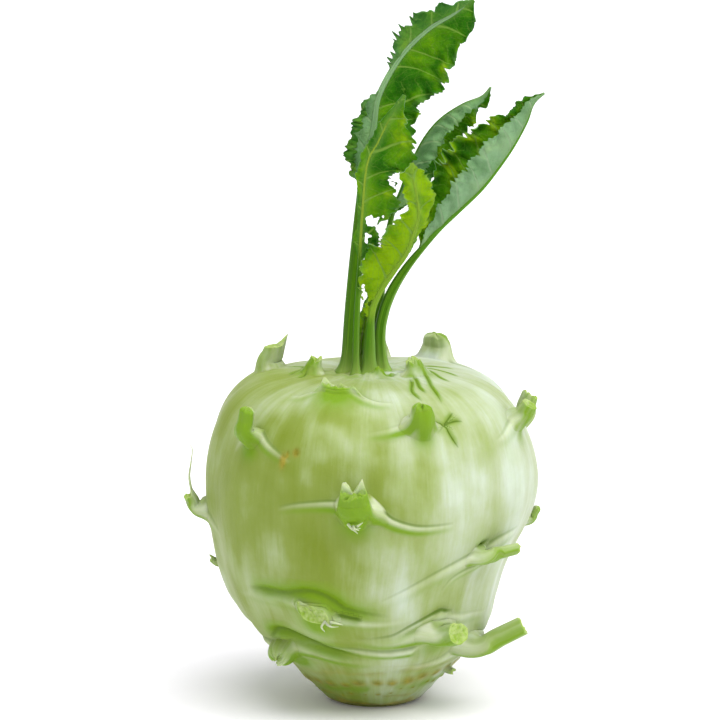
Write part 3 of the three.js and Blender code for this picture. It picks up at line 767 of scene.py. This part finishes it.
# Each leaf's stalk follows its path, in millimetres, and runs on as its midrib. stalk is its width at foot
# and tip, start is the share of the path where the blade begins, rib is the midrib's colour, and tone
# runs from deep green at 0 to yellow-green at 1. Each half of the blade has its widths from foot to tip, the
# angle that it is folded at, the angle that it curls through to its margin, how much its margin ruffles, how
# many side veins and lobes it has, and how long its teeth are. under is 1 where the side that faced the front
# before folding is the grey-green underside, and roll is how far the margin is rolled over, in degrees. Both
# are listed from foot to tip. holes are torn through it: share along, share across, size.
LEAVES = {
    "leaf_tall": dict(
        path=[(-7, -1, 86), (-6.1, -1, 105), (-4.5, 0, 124.6), (-2.7, 1, 146), (-0.3, 2, 157),
              (1.3, 3, 166), (7.2, 4, 176.4), (14.6, 3, 184), (21.6, 1, 188.6), (27, 0, 192.8)],
        stalk=(4.4, 1.9), start=0.465, tone=0.32, rib=(0.28, 0.5, 0.22),
        left=half([0.5, 7, 10, 10.5, 9.6, 6.4, 0.8, 0.5, 3, 6, 7.4, 7.6, 6.4, 4, 0.5], 20, 30, 1.3, 8, 2.2,
            roll=[150, 160, 150, 40, 0, 0, 0, 0], under=[0.95, 0.95, 0.9, 0.5, 0.15, 0.1, 0.2]),
        right=half([0.5, 3, 7, 9, 11.5, 12.5, 12, 13.8, 14.6, 14.2, 13, 11, 8.6, 6, 0.8], -6, 30, 1.6, 7,
            0.28),
    ),
    "leaf_front": dict(
        path=[(-5, -5.4, 86), (-4.8, -5.7, 103), (-4, -6.6, 120), (-3.2, -8, 135), (-1.9, -8.6, 149),
              (1.1, -9, 155.5), (4.3, -9.4, 162), (8.2, -9, 168.6)],
        stalk=(1.9, 0.7), start=0.43, tone=0.5, rib=(0.3, 0.48, 0.03),
        left=half([0.4, 1.6, 2.2, 1.2, 1.4, 1.8, 2.2, 2.6, 2.6, 2.4, 2.4, 2.2, 1.6, 0.8, 0.4], -12, 20, 0.5,
            6, 0.5),
        right=half([0.6, 5, 6, 4.2, 8.5, 10, 9.6, 8, 9, 10.4, 11.4, 10, 5.4, 2.6, 0.6], 6, 26, 1, 6, 1,
            holes=[(0.235, 0.62, 1.5), (0.25, 0.3, 1), (0.13, 0.25, 1), (0.47, 0.86, 1.2)]),
    ),
    "leaf_centre": dict(
        path=[(-1.2, -4, 86), (-1.3, -4.5, 99), (-0.6, -5.2, 108), (1.6, -6.2, 114), (5.4, -7.5, 120),
              (8.6, -9, 125), (10.8, -11, 131.4), (11.9, -12, 136.4), (11.3, -13, 141.6),
              (10.2, -13.5, 146.5), (10, -14, 151)],
        stalk=(3.6, 0.9), start=0.28, tone=0.95, rib=(0.26, 0.46, 0.03),
        left=half([0.5, 2.6, 5, 7.4, 9.6, 11, 10.4, 9, 8.6, 7, 4.4, 3.4, 3.6, 3.4, 0.6], 8, 22, 0.9, 6, 1.3,
            holes=[(0.13, 0.62, 0.9), (0.17, 0.8, 0.7), (0.1, 0.3, 0.8), (0.45, 0.9, 1.3)]),
        right=half([0.4, 0.4, 0.4, 0.4, 0.6, 0.6, 0.8, 1, 1.6, 3, 4.6, 5.4, 5.4, 4, 0.6], -20, -16, 0.9, 5,
            1.1),
    ),
    "leaf_back": dict(
        path=[(0, 4, 86), (1.5, 4.5, 109.5), (4.2, 5, 130), (7.5, 5.5, 140), (10.8, 6, 148.4),
              (14.3, 6, 154.8), (18.4, 6, 159.4), (23.9, 5, 163.2), (28.8, 4, 165.6), (31.4, 3, 168.6)],
        stalk=(2.8, 0.8), start=0.5, tone=0.42, rib=(0.12, 0.33, 0.03),
        left=half([0.6, 4, 6, 7, 7, 6, 5, 3, 0.6], 122, 14, 0.9, 8, 0.9, under=[0.25, 0.25]),
        right=half([0.6, 6, 9, 11, 11.5, 10, 8, 5, 0.6], -38, 22, 1.7, 8, 0.9),
    ),
    "leaf_right": dict(
        path=[(2.6, -0.5, 86), (1.6, 0, 99.6), (2.6, 0, 107), (5, 0, 113.3), (8.6, 0, 119.2),
              (12.6, -0.5, 124.4), (17.6, -1, 130.2), (22.5, -1.5, 135), (28.6, -2, 141), (33.2, -2, 146.8),
              (37.4, -2, 153), (40.8, -2, 159.4), (42.8, -2, 164.4), (46, -3, 167.7)],
        stalk=(3.2, 1), start=0.42, tone=0.55, rib=(0.12, 0.33, 0.02),
        left=half([0.6, 6, 10, 14, 15, 13.5, 10, 5, 0.6], -24, 40, 2.2, 8, 0.9),
        right=half([0.6, 3.4, 6, 8.2, 9, 8.6, 6.6, 3.5, 0.6], 150, 10, 0.5, 8, 0.8),
    ),
    "leaf_young": dict(
        path=[(-3.7, 2.6, 86), (-3.6, 2.6, 97), (-3, 2.6, 102), (-1.8, 2.4, 108), (-0.4, 2.2, 113)],
        stalk=(1.6, 0.8), start=0.3, tone=1, rib=(0.4, 0.55, 0.14),
        left=half([0.5, 2.2, 3, 2.8, 1.8, 0.5], 30, 40, 0.5, 4, 0.5),
        right=half([0.5, 2.2, 3, 2.8, 1.8, 0.5], 30, 40, 0.5, 4, 0.5),
    ),
}


def section(curve, t):
    """A curve's points and its directions along, across and towards the front."""
    along = curve.along(t)
    across = unit(np.cross(along, FRONT))
    return curve.at(t), along, across, np.cross(across, along)


def blade_half(curve, leaf, side, seed):
    """The middle of one half of a blade, row by row from foot to tip, its looks, and what isn't torn out."""
    side_half = leaf["left" if side < 0 else "right"]
    s = np.linspace(0, 1, BLADE_ROWS)
    q = np.linspace(0, 1, BLADE_COLUMNS) ** 0.92
    base, along, across, through = section(curve, mix(leaf["start"], BLADE_END, s))
    long = curve.length * (BLADE_END - leaf["start"])
    width = read(side_half["width"], s)
    line = s[:, None] * long
    pitch = long / side_half["veins"]
    shift = 0.37 * (seed % 5) + 0.16 * waves(line, seed + 3, 14, 30)
    # each side vein ends in a lobe, and teeth on the lobes point towards the tip
    at_margin = (line[:, 0] - VEIN_LEAN * width) / pitch + shift
    lobe = np.abs(np.cos(math.pi * at_margin)) ** 0.55
    saw = line[:, 0] / 2.1 + 0.5 * waves(line, seed + 1, 4, 9)
    tooth = (saw % 1) ** 1.5 * (0.5 + 0.5 * waves(line, seed + 2, 3, 8))
    bite = 0.12 * min(side_half["teeth"], 1.0) * waves(line, seed + 9, 1.1, 2.6)
    edge = width * (0.85 + 0.17 * lobe + bite * 0.5)
    edge = edge + side_half["teeth"] * (tooth - 0.45) * ease(0.2, 3.0, width)
    edge = np.maximum(edge, 0.25)
    out = edge[:, None] * q
    place = (line - VEIN_LEAN * out + 0.012 * out**2) / pitch + shift[:, None]
    fold, curl = math.radians(side_half["fold"]), math.radians(side_half["curl"])
    angle = fold + curl * q * (0.7 + 0.3 * lobe[:, None])
    roll = np.radians(read(side_half["roll"], s))[:, None]
    angle = angle + roll * ease(0.55, 1, q) * (0.4 + 0.6 * lobe[:, None])
    step = edge[:, None] * np.diff(q, prepend=0)
    outwards = side * np.cumsum(np.cos(angle) * step, axis=1)
    forwards = np.cumsum(np.sin(angle) * step, axis=1)
    # the blade swells between its veins, and ruffles towards its margin
    size = ease(0.5, 5, width)[:, None]
    swell = -0.5 * np.cos(2 * math.pi * place) * ease(0.03, 0.35, q) * size
    spread_line = np.broadcast_to(line, out.shape)
    grid = np.stack([spread_line, out], -1)
    frill = 0.75 * np.sin(2 * math.pi * (place + 0.3)) + 0.7 * waves(grid, seed + 4, 4, 9)
    ruffle = side_half["ruffle"] * size * q**2 * frill
    crinkle = 0.3 * waves(grid, seed + 5, 2.0, 4.5) * ease(0.1, 0.9, q) * size
    points = base[:, None] + across[:, None] * outwards[..., None] + through[:, None] * forwards[..., None]
    normal = side * across[:, None] * -np.sin(angle)[..., None] + through[:, None] * np.cos(angle)[..., None]
    points = points + normal * (swell + ruffle + crinkle)[..., None]
    tone = leaf["tone"] + 0.3 * ease(0.5, 1, q) * waves(grid, seed + 6, 5, 12)
    # where a ruffle bulges out its crest is lighter, a painted highlight; more ruffled halves are a little
    # yellower
    tone = tone + 0.2 * waves(grid, seed + 8, 9, 22) + 0.06 * side_half["ruffle"] * size + 0.14 * ruffle
    looks = {
        "veins": np.stack([place, np.full(out.shape, pitch), out], -1),
        "margin": np.broadcast_to(q, out.shape),
        "rib": hump(out, 0, 1.1),
        "under": np.broadcast_to(read(side_half["under"], s)[:, None], out.shape),
        "tone": np.clip(tone, 0, 1),
        "grain": np.stack([spread_line / 10, side * out / 10, np.full(out.shape, float(seed))], -1),
    }
    whole = np.ones((BLADE_ROWS - 1, BLADE_COLUMNS - 1), bool)
    for share, over, size in side_half["holes"]:
        away = np.hypot(line - share * long, out - over * width[:, None])
        torn = away < size * (1 + 0.45 * waves(grid, seed + 11, 1.2, 3.5))
        whole &= ~torn[:-1, :-1]
    return points, looks, whole


def closed_sheet(whole, columns, layer, first, flip):
    """Faces of a sheet with two sides and a wall round every edge. layer is how many points one side has."""
    i, j = np.nonzero(whole)
    a = first + i * columns + j
    corners = [a, a + 1, a + columns + 1, a + columns]
    room = np.pad(whole, 1)
    bare = [~room[i, j + 1], ~room[i + 1, j + 2], ~room[i + 2, j + 1], ~room[i + 1, j]]
    faces = [np.stack(corners, -1), np.stack(corners[::-1], -1) + layer]
    for k, open_edge in enumerate(bare):
        p, r = corners[k][open_edge], corners[(k + 1) % 4][open_edge]
        faces.append(np.stack([r, p, p + layer, r + layer], -1))
    faces = np.vstack(faces)
    return faces[:, ::-1] if flip else faces


def make_leaf(name, leaf, blade_material, stalk_material):
    seed = sum(ord(c) for c in name)
    curve = Path(leaf["path"])
    points, faces, slots = [], [], []
    floats = ("margin", "rib", "under", "tone", "green", "pale", "dark_and_shade")
    vectors = ("veins", "grain")
    looks = {key: [] for key in floats + vectors}

    def add(new_points, new_faces, look, slot):
        flat = new_points.reshape(-1, 3)
        points.append(flat)
        faces.extend(new_faces)
        slots.extend([slot] * len(new_faces))
        for key in floats:
            looks[key].append(np.broadcast_to(look.get(key, 0.0), new_points.shape[:-1]).reshape(-1))
        for key in vectors:
            looks[key].append(np.asarray(look.get(key, np.zeros(new_points.shape)), float).reshape(-1, 3))

    def total():
        return sum(len(p) for p in points)

    for side in (-1, 1):
        middle, look, whole = blade_half(curve, leaf, side, seed + (7 if side > 0 else 0))
        normal = unit(np.cross(np.gradient(middle, axis=1), np.gradient(middle, axis=0))) * side
        layers = np.stack([middle + normal * BLADE_THICK / 2, middle - normal * BLADE_THICK / 2])
        both = {key: np.stack([value, value]) for key, value in look.items()}
        both["under"] = np.stack([look["under"], 1 - look["under"]])
        add(layers, list(closed_sheet(whole, BLADE_COLUMNS, middle[..., 0].size, total(), side < 0)), both, 0)

    # the stalk and midrib: round behind, a shallow channel in front, and spread at its foot
    t = np.linspace(0, 0.992, RIB_RINGS)
    base, along, across, through = section(curve, t)
    phi = round_angles(RIB_SIDES)
    up_from_crown = t * curve.length - (HEIGHT - leaf["path"][0][2])
    wide, fine = leaf["stalk"]
    half_width = 0.5 * mix(wide, fine, ease(0.1, 1.0, t) * 0.55 + 0.45 * t)
    half_width = half_width * mix(1, 0.62, ease(0.6 * leaf["start"], 1.25 * leaf["start"], t))
    half_width = half_width * (1 + 0.9 * np.exp(-np.maximum(up_from_crown, 0) / 1.8))
    half_width = half_width * (0.25 + 0.75 * ease(1.0, 0.9, t / 0.992))
    x = half_width[:, None] * np.cos(phi)
    channel = 1 - 0.35 * hump(np.cos(phi), 0, 0.5) * (np.sin(phi) > 0)
    y = 0.92 * half_width[:, None] * np.sin(phi) * channel
    rod = base[:, None] + across[:, None] * x[..., None] + through[:, None] * y[..., None]
    foot = np.exp(-np.maximum(up_from_crown, 0) / 4.0)[:, None]
    upper = ease(leaf["start"] * 0.95, leaf["start"] * 1.2, t)[:, None]
    grain = (0.3 * np.cos(phi), 0.3 * np.sin(phi), 2 * t[:, None] + seed)
    # the stalk is pale at its foot; below the blade a painted highlight runs down its right-hand front and
    # painted shade down its left front and back
    stalk_looks = {
        "green": np.clip(1 - 0.8 * foot + 0.1 * np.sin(4 * phi + seed), 0, 1),
        "pale": np.clip(0.25 * foot + 0.65 * hump(phi, 0.6, 0.3) * (1 - upper), 0, 1),
        "dark_and_shade": 0.6 * np.maximum(hump(phi, 2.6, 0.5), hump(phi, 4.6, 0.6)) * (1 - upper),
        "rib": np.broadcast_to(upper, x.shape),
        "grain": np.stack([np.broadcast_to(values, x.shape) for values in grain], -1),
    }
    first = total()
    add(rod, list(ring_faces(RIB_RINGS, RIB_SIDES, first)), stalk_looks, 1)
    caps = list(fan_faces(first + (RIB_RINGS - 1) * RIB_SIDES, RIB_SIDES, total()))
    caps += list(fan_faces(first, RIB_SIDES, total() + 1, flip=True))
    add(curve.at(np.array([0.996, 0.0])), caps, {"green": 0.5, "pale": 0.5, "rib": 1.0}, 1)
    used, renumbered = np.unique(np.concatenate([np.ravel(f) for f in faces]), return_inverse=True)
    ends = np.cumsum([len(f) for f in faces])[:-1]
    stored = {key: np.concatenate(kept)[used] for key, kept in looks.items()}
    return make_piece(name + "_grown", np.vstack(points)[used], np.split(renumbered.ravel(), ends), stored,
                      [blade_material, stalk_material], name, slots)


# ---------------------------------------------------------------- materials


class Wire:
    """A number running through a material's nodes, so that sums with it are written plainly."""

    def __init__(self, nodes, socket):
        self.nodes, self.socket = nodes, socket

    def __add__(self, other):
        return self.nodes.math("ADD", self, other)

    def __sub__(self, other):
        return self.nodes.math("SUBTRACT", self, other)

    def __mul__(self, other):
        return self.nodes.math("MULTIPLY", self, other)

    def __truediv__(self, other):
        return self.nodes.math("DIVIDE", self, other)

    def __abs__(self):
        return self.nodes.math("ABSOLUTE", self)

    def __round__(self):
        return self.nodes.math("ROUND", self)


class Nodes:
    """A material's node tree, with a short call for each kind of node that it uses."""

    def __init__(self, name):
        self.material = bpy.data.materials.new(name)
        self.material.use_nodes = True
        self.tree = self.material.node_tree
        self.tree.nodes.clear()
        self.out = self.tree.nodes.new("ShaderNodeOutputMaterial")

    def new(self, kind, inputs=(), **settings):
        """A node with these settings, fed with values by the names or numbers of its inputs."""
        node = self.tree.nodes.new(kind)
        for key, value in settings.items():
            setattr(node, key, value)
        for key, value in inputs:
            self.feed(node.inputs[key], value)
        return node

    def feed(self, socket, value):
        if isinstance(value, Wire):
            value = value.socket
        if isinstance(value, bpy.types.NodeSocket):
            self.tree.links.new(value, socket)
        else:
            socket.default_value = value

    def look(self, name):
        return Wire(self, self.new("ShaderNodeAttribute", attribute_name=name).outputs["Fac"])

    def vector(self, name):
        return self.new("ShaderNodeAttribute", attribute_name=name).outputs["Vector"]

    def where(self):
        return self.new("ShaderNodeTexCoord").outputs["Object"]

    def math(self, operation, a, b=0.0, clamp=False):
        node = self.new("ShaderNodeMath", [(0, a), (1, b)], operation=operation, use_clamp=clamp)
        return Wire(self, node.outputs[0])

    def stretch(self, vector, along):
        inputs = [(0, vector), (1, (1, 1, along))]
        return self.new("ShaderNodeVectorMath", inputs, operation="MULTIPLY").outputs[0]

    def noise(self, vector, scale, detail=4.0, rough=0.55, distortion=0.0):
        inputs = {"Vector": vector, "Scale": scale, "Detail": detail, "Roughness": rough,
                  "Distortion": distortion}
        return Wire(self, self.new("ShaderNodeTexNoise", inputs.items()).outputs["Fac"])

    def spread(self, value, low, high, to_low=0.0, to_high=1.0):
        inputs = enumerate((value, low, high, to_low, to_high))
        return Wire(self, self.new("ShaderNodeMapRange", inputs, clamp=True).outputs[0])

    def ramp(self, value, stops):
        node = self.new("ShaderNodeValToRGB", [(0, value)])
        elements = node.color_ramp.elements
        while len(elements) < len(stops):
            elements.new(0.5)
        for element, (place, colour) in zip(elements, stops):
            element.position = place
            element.color = (*colour, 1)
        return node.outputs[0]

    def colour_mix(self, share, a, b):
        a, b = ((*c, 1) if isinstance(c, tuple) else c for c in (a, b))
        inputs = [(0, share), (6, a), (7, b)]
        return self.new("ShaderNodeMix", inputs, data_type="RGBA", clamp_factor=True).outputs[2]

    def bump(self, height, strength):
        inputs = {"Strength": strength, "Distance": BUMP_DISTANCE, "Height": height}
        return self.new("ShaderNodeBump", inputs.items()).outputs[0]

    def principled(self, **sockets):
        return self.new("ShaderNodeBsdfPrincipled", [(k.replace("_", " "), v) for k, v in sockets.items()])

    def finish(self, shader):
        self.feed(self.out.inputs["Surface"], shader.outputs[0])
        return self.material


def skin_material():
    """Pale green, waxy and faintly striped, with green stains, pale lips and tan scars, painted shade in its
    creases and along the lips' upper edges, and painted light that makes its right-hand side paler.
    """
    n = Nodes("kohlrabi_skin")
    grain, where = n.vector("grain"), n.where()
    broad = n.noise(n.stretch(grain, 0.3), 3.6, 3, 0.5, 0.2)
    stripes = n.noise(n.stretch(grain, 0.16), 11, 4, 0.6, 0.25)
    fibres = n.noise(n.stretch(grain, 0.07), 55, 5, 0.65)
    cloud, specks = n.noise(where, 40, 5, 0.6), n.noise(where, 150, 4, 0.6)
    fibre_patch = n.spread(n.noise(grain, 2.2, 2, 0.5), 0.42, 0.62)
    mottle = broad * 0.34 + stripes * 0.27 + cloud * 0.24 + fibres * fibre_patch * 0.13
    # tone greens the skin; it holds the painted light that makes the right-hand side paler and the left
    # greener
    mottle = mottle + (specks - 0.5) * 0.14 - (n.look("tone") - 0.54) * 0.55
    colour = n.ramp(mottle, [
        (0.12, (0.165, 0.23, 0.012)), (0.33, (0.215, 0.285, 0.05)), (0.46, (0.295, 0.37, 0.14)),
        (0.58, (0.385, 0.455, 0.27)), (0.74, (0.51, 0.59, 0.48)),
    ])
    stain = n.spread(n.look("green") * n.spread(stripes, 0.3, 0.7, 0.75, 1.2), 0.0, 0.72)
    colour = n.colour_mix(stain * 0.95, colour, (0.15, 0.28, 0.002))
    # pale lips, slivers and fibres, and the painted highlight on the stalks' upper right-hand flanks
    pale = n.look("pale") * n.spread(stripes, 0.3, 0.7, 0.7, 0.95)
    colour = n.colour_mix(pale, colour, (0.51, 0.57, 0.39))
    # painted shade in the creases, in the grooves and above the stalks' feet, and the real dark of the scars
    colour = n.colour_mix(n.look("dark_and_shade") * 0.85, colour, (0.12, 0.20, 0.001))
    # a fine line of painted shade along the lips' upper edges and down the cracks
    line = n.spread(abs(n.look("shade_line_off")), 0.1, 0.36, 1.0, 0.0) * n.look("shade_line_on")
    colour = n.colour_mix(line * 0.9, colour, (0.07, 0.14, 0.001))
    brown = n.ramp(n.noise(where, 420, 3, 0.6), [(0.35, (0.15, 0.13, 0.003)), (0.65, (0.34, 0.27, 0.03))])
    colour = n.colour_mix(n.look("tan") * 0.85, colour, brown)
    flesh = n.ramp(n.noise(where, 900, 3, 0.6), [(0.3, (0.24, 0.38, 0.03)), (0.7, (0.44, 0.54, 0.20))])
    colour = n.colour_mix(n.look("cut") * 0.75, colour, flesh)
    pores = n.noise(where, 1500, 2, 0.5)
    return n.finish(n.principled(
        Base_Color=colour, Roughness=n.spread(fibres, 0.3, 0.7, 0.40, 0.56),
        Normal=n.bump(fibres * 0.5 + pores * 0.3 + stripes * 0.8, 0.35),
        Subsurface_Weight=0.28, Subsurface_Radius=(0.7, 1.0, 0.3), Subsurface_Scale=0.003,
        Specular_IOR_Level=0.16, Coat_Weight=0.03, Coat_Roughness=0.35,
    ))


def blade_material():
    """Leaf blade: green above, grey-green below, with pale branching veins. Light shows through it."""
    n = Nodes("kohlrabi_leaf_blade")
    grain, under, margin = n.vector("grain"), n.look("under"), n.look("margin")
    cloud = n.spread(n.noise(grain, 2.6, 4, 0.6), 0.3, 0.7, -0.2, 0.2)
    tone = n.math("ADD", n.look("tone"), cloud, clamp=True)
    upper = n.ramp(tone, [
        (0.0, (0.006, 0.085, 0.001)), (0.35, (0.028, 0.165, 0.001)), (0.65, (0.11, 0.30, 0.001)),
        (1.0, (0.30, 0.50, 0.002)),
    ])
    below = n.ramp(tone, [(0.0, (0.19, 0.39, 0.16)), (0.6, (0.31, 0.53, 0.28)), (1.0, (0.36, 0.57, 0.28))])
    colour = n.colour_mix(under, upper, below)
    # side veins, the branches off them, and the fine net between
    veins = n.new("ShaderNodeSeparateXYZ", [(0, n.vector("veins"))])
    place, pitch, out = (Wire(n, socket) for socket in veins.outputs)
    off = abs(place - round(place)) * pitch
    main = n.spread(off * 0.78 / n.spread(margin, 0.0, 1.0, 0.40, 0.12), 0.5, 1.3, 1.0, 0.0)
    branch = (out + off * 0.9) / 2.9 + n.noise(grain, 5, 2) * 0.7
    branch = n.spread(abs(branch - round(branch)), 0.015, 0.05, 0.5, 0.0)
    cells = n.new("ShaderNodeTexVoronoi", [("Vector", grain), ("Scale", 9)], feature="DISTANCE_TO_EDGE")
    net = n.spread(cells.outputs["Distance"], 0.0, 0.08, 0.22, 0.0)
    lines = n.math("MAXIMUM", main, n.math("MAXIMUM", branch, net)) * n.spread(margin, 0.8, 1.0, 1.0, 0.2)
    colour = n.colour_mix(lines * 0.9, colour, n.colour_mix(under, (0.24, 0.42, 0.06), (0.36, 0.53, 0.30)))
    colour = n.colour_mix(n.look("rib") * 0.45, colour, (0.20, 0.38, 0.08))
    # a pale waxy rim along the margin, broken up
    rim = n.spread(margin, 0.82, 1.0) * n.spread(n.noise(grain, 3.4, 3), 0.45, 0.65, 0.0, 0.6)
    colour = n.colour_mix(rim, colour, (0.20, 0.38, 0.12))
    normal = n.bump(n.noise(grain, 14, 4, 0.6) - lines * 1.3, 0.5)
    rough = n.spread(n.noise(grain, 6), 0.3, 0.7, 0.42, 0.58)
    shader = n.principled(Base_Color=colour, Roughness=rough, Normal=normal, Specular_IOR_Level=0.08)
    glow = n.colour_mix(0.5, colour, (0.26, 0.56, 0.003))
    through = n.new("ShaderNodeBsdfTranslucent", [("Color", glow), ("Normal", normal)])
    both = [(0, 0.4), (1, shader.outputs[0]), (2, through.outputs[0])]
    return n.finish(n.new("ShaderNodeMixShader", both))


def stalk_material(name, rib):
    """Leaf stalk: bright green with lengthwise ribs, pale at its foot, with a painted highlight down its
    right-hand front and painted shade down its left and back, and the midrib's own colour above.
    """
    n = Nodes(name)
    stripes = n.noise(n.stretch(n.vector("grain"), 0.12), 14, 4, 0.6)
    base = n.ramp(stripes, [(0.3, (0.028, 0.12, 0.001)), (0.7, (0.10, 0.26, 0.001))])
    colour = n.colour_mix(n.look("green"), (0.34, 0.44, 0.10), base)
    # painted shade down the stalk's left front and back
    colour = n.colour_mix(n.look("dark_and_shade") * 0.8, colour, (0.014, 0.08, 0.001))
    # pale at the foot, and a painted highlight down the stalk's right-hand front
    colour = n.colour_mix(n.look("pale") * 0.75, colour, (0.24, 0.42, 0.09))
    shades = (tuple(share * c for c in rib) for share in (0.6, 0.85))
    colour = n.colour_mix(n.look("rib"), colour, n.colour_mix(n.spread(stripes, 0.35, 0.65), *shades))
    return n.finish(n.principled(
        Base_Color=colour, Roughness=n.spread(stripes, 0.3, 0.7, 0.34, 0.46), Normal=n.bump(stripes, 0.5),
        Subsurface_Weight=0.2, Subsurface_Radius=(0.6, 1.0, 0.2), Subsurface_Scale=0.0015,
        Specular_IOR_Level=0.08, Coat_Weight=0.01, Coat_Roughness=0.2,
    ))


# ---------------------------------------------------------------- the kohlrabi

skin_look = skin_material()
blade_look = blade_material()
make_bulb(skin_look)
for stub_name, stub_spec in STUBS.items():
    make_stub(stub_name, stub_spec, skin_look)
for leaf_name, leaf_spec in LEAVES.items():
    stalk_look = stalk_material("kohlrabi_stalk_" + leaf_name, leaf_spec["rib"])
    make_leaf(leaf_name, leaf_spec, blade_look, stalk_look)

# ---------------------------------------------------------------- floor, light and camera

FLOOR = 8.0  # half of its side, in metres
floor_mesh = bpy.data.meshes.new("floor")
corners = [(-FLOOR, -FLOOR, 0), (FLOOR, -FLOOR, 0), (FLOOR, FLOOR, 0), (-FLOOR, FLOOR, 0)]
floor_mesh.from_pydata(corners, [], [(0, 1, 2, 3)])
floor = bpy.data.objects.new("floor", floor_mesh)
bpy.context.scene.collection.objects.link(floor)
paper = Nodes("floor_paper")
white = paper.ramp(paper.noise(paper.where(), 60, 4), [(0.3, (0.93, 0.92, 0.98)), (0.7, (0.95, 0.94, 1.0))])
matt = paper.principled(Base_Color=white, Roughness=0.9, Specular_IOR_Level=0.1)
floor_mesh.materials.append(paper.finish(matt))
floor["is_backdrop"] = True

SKY_LIGHT = 0.74  # from all round
SUN_LIGHT = 2.6
DISC_LIGHT = 3.4
world = bpy.data.worlds.new("studio")
world.use_nodes = True
background = world.node_tree.nodes["Background"]
background.inputs["Color"].default_value = (1, 1, 1, 1)
background.inputs["Strength"].default_value = SKY_LIGHT
bpy.context.scene.world = world


def lamp(name, kind, place, strength, **settings):
    light = bpy.data.lights.new(name, kind)
    light.energy = strength
    light.color = (1.0, 0.985, 0.95)
    for key, value in settings.items():
        setattr(light, key, value)
    holder = bpy.data.objects.new(name, light)
    holder.location = place
    holder.rotation_euler = (Vector((0, 0, 0.08)) - Vector(place)).to_track_quat("-Z", "Y").to_euler()
    bpy.context.scene.collection.objects.link(holder)


lamp("key", "SUN", (0.34, -0.5, 1.9), SUN_LIGHT, angle=math.radians(60))
lamp("shine", "AREA", (0.8, -0.5, 0.9), DISC_LIGHT, shape="DISK", size=0.5)

VIEW_UP = math.radians(12)  # the camera's height over the horizon
DISTANCE = 2.0
FIELD = 0.1964  # width seen at the kohlrabi, in metres
AIM = (-0.0038, 0.0919)  # what the camera's middle is on, across and up from the root cut as it sees them
camera_data = bpy.data.cameras.new("camera")
camera_data.sensor_width = 36
camera_data.lens = 36 * DISTANCE / FIELD
camera_data.clip_start = 0.05
camera_data.clip_end = 60
camera = bpy.data.objects.new("camera", camera_data)
right, over = Vector((1, 0, 0)), Vector((0, math.sin(VIEW_UP), math.cos(VIEW_UP)))
back = right.cross(over)
camera.matrix_world = Matrix.Translation(right * AIM[0] + over * AIM[1] + back * DISTANCE) @ Matrix(
    (right, over, back)).transposed().to_4x4()
bpy.context.scene.collection.objects.link(camera)
bpy.context.scene.camera = camera
bpy.context.scene.view_settings.view_transform = "Standard"

{"cad": cad_box, "visual": [list(corner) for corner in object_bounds()]}
